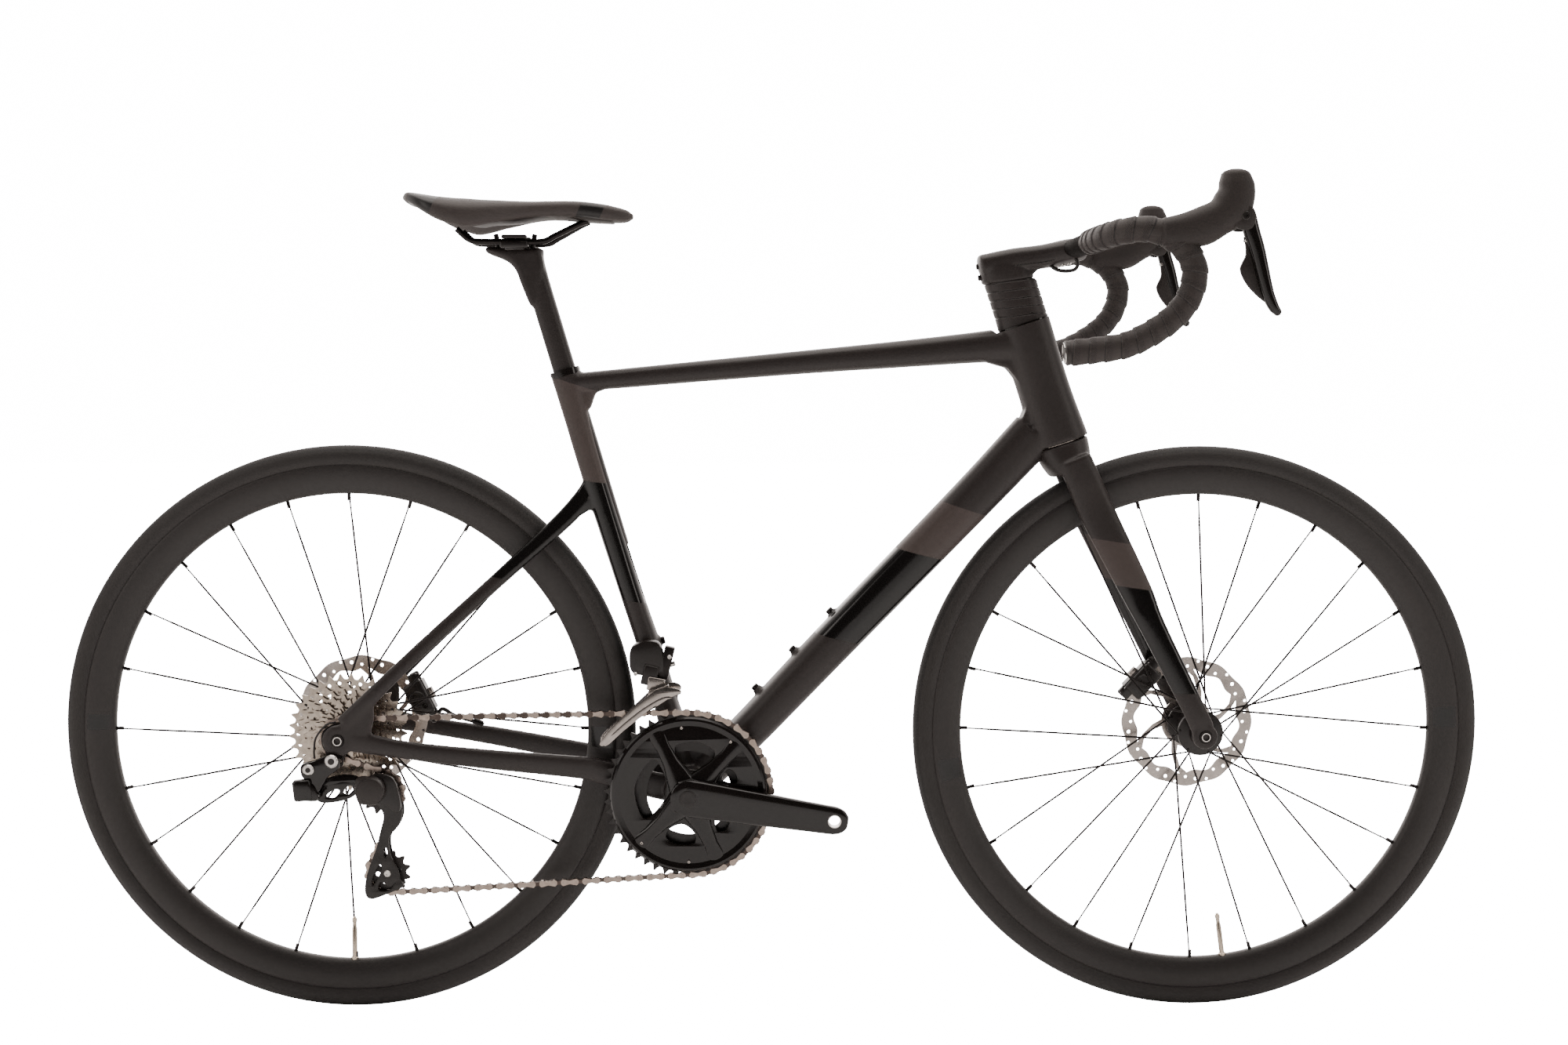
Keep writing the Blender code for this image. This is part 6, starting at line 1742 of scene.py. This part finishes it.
collar_tool = skin([section(*seat_row(distance, 0.0278, 0.0228)[:5]) for distance in (0.500, 0.530)])
collar = skin([section(*seat_row(distance, depth, 0.0310)[:5]) for distance, depth in
               ((0.5120, 0.0345), (0.5165, 0.0360), (0.5195, 0.0345))])
show("seat_collar", carved(collar, collar_tool), gloss_black, "frame", "frame_paint")

# %% Saddle cover finish
cover_finish = Finish("saddle_cover", (0.024, 0.020, 0.019), 0.5)
place = cover_finish.place()
x, y, z = cover_finish.axes(place)
grain = cover_finish.node("ShaderNodeTexVoronoi", {"feature": "DISTANCE_TO_EDGE"},
                          {"Vector": place, "Scale": 900.0}, "Distance")
lean_x = x - z * 0.44
tail = cover_finish.above(lean_x, -0.8464) * (1 - cover_finish.above(lean_x, -0.8104))
nose = cover_finish.above(lean_x, -0.6475) * (1 - cover_finish.above(lean_x, -0.6192))
gloss = tail + nose
cloud = cover_finish.noise(place, 22.0)
matte = cover_finish.blend(cloud, (0.0380, 0.0300, 0.0275), (0.0520, 0.0415, 0.0380))
cover_finish.set("Base Color", cover_finish.blend(gloss, matte, (0.0080, 0.0068, 0.0066)))
cover_finish.set("Roughness", 0.50 + cloud * 0.10 - gloss * 0.16)
cover_finish.bump(grain * (1 - gloss), 0.00020)

# %% Saddle pad and shell
pad_rows = [(-0.4316, 0.9660, 0.0, 0.0060, 0.046), (-0.4275, 0.9655, 0.0, 0.0125, 0.076),
            (-0.4205, 0.9638, 0.0, 0.0160, 0.100),
            (-0.4060, 0.9575, 0.0, 0.0240, 0.126), (-0.3880, 0.9505, 0.0, 0.0330, 0.138),
            (-0.3700, 0.9460, 0.0, 0.0390, 0.1385), (-0.3560, 0.9438, 0.0, 0.0425, 0.136),
            (-0.3400, 0.9445, 0.0, 0.0390, 0.126), (-0.3250, 0.9463, 0.0, 0.0345, 0.114),
            (-0.3050, 0.9481, 0.0, 0.0298, 0.096), (-0.2820, 0.9505, 0.0, 0.0245, 0.080),
            (-0.2350, 0.9531, 0.0, 0.0214, 0.055), (-0.2050, 0.9508, 0.0, 0.0205, 0.046),
            (-0.1850, 0.9480, 0.0, 0.0180, 0.038), (-0.1735, 0.9468, 0.0, 0.0135, 0.028),
            (-0.1685, 0.9465, 0.0, 0.0070, 0.018)]
pad = flowing(pad_rows, 5, 40, 3.0, rounded=0.0022)
bm = bmesh.new()
bm.from_mesh(pad)
for vert in bm.verts:
    across, along_x = vert.co.y, vert.co.x
    low, high = max((pair for pair in zip(pad_rows, pad_rows[1:]) if pair[0][0] <= along_x),
                    default=pad_rows[:2])
    share = max(0.0, min(1.0, (along_x - low[0]) / (high[0] - low[0])))
    middle, deep, wide = (low[key] + (high[key] - low[key]) * share for key in (1, 3, 4))
    if vert.co.z < middle - deep * 0.1:
        lift = max(0.0, min(1.0, (-0.250 - along_x) / 0.05)) * max(0.0, min(1.0, (along_x + 0.425) / 0.03))
        vert.co.z += lift * deep * 0.55 * max(0.0, 1.0 - (across / (wide * 0.44)) ** 4)
    top = max(0.0, min(1.0, (vert.co.z - 0.945) / 0.010))
    relief = math.exp(-(across / 0.0085) ** 2) * max(0.0, min(1.0, (along_x + 0.40) / 0.05)) \
        * max(0.0, min(1.0, (-0.215 - along_x) / 0.04))
    vert.co.z -= 0.0040 * relief * top
    droop = max(0.0, abs(across) - 0.040) ** 2 * 2.2
    vert.co.z -= droop
pad = finished(bm)
pad_piece = show("saddle_pad_cover", pad, cover_finish, "saddle", "saddle_cover", "saddle_pad",
                 sharp=math.radians(70))
shell_rows = [(-0.4120, 0.9560, 4.0, 0.0080, 0.080), (-0.3850, 0.9500, 6.0, 0.0130, 0.108),
              (-0.3520, 0.9440, 6.0, 0.0190, 0.104), (-0.3300, 0.9450, 2.0, 0.0170, 0.088),
              (-0.3000, 0.9440, -4.0, 0.0120, 0.070), (-0.2600, 0.9470, -3.0, 0.0095, 0.050),
              (-0.2250, 0.9455, 0.0, 0.0120, 0.040), (-0.1900, 0.9425, -6.0, 0.0100, 0.030)]
show("saddle_shell_body", flowing(shell_rows, 5, 32, 2.6, rounded=0.003), plastic, "saddle", "plastic",
     "saddle_shell", sharp=math.radians(70))

# %% [markdown]
# ## The solids left over
# Solids that need no new shape still get a finish of their own.

# %% Finish what is left
LEFT_OVER = {"steel": steel, "plastic": plastic, "rubber": hose_black, "grip": hood_rubber,
             "gloss_black": gloss_black, "frame_paint": satin_paint, "silver_alloy": silver,
             "chain_steel": chain_steel, "saddle_cover": hood_rubber}
slots = {row["node"]: row["material_slot"] for row in frame["record"]["subparts"]}
for node, solid in frame["nodes"].items():
    finish = LEFT_OVER.get(slots[node], black_alloy)
    solid.data.materials.clear()
    solid.data.materials.append(finish)
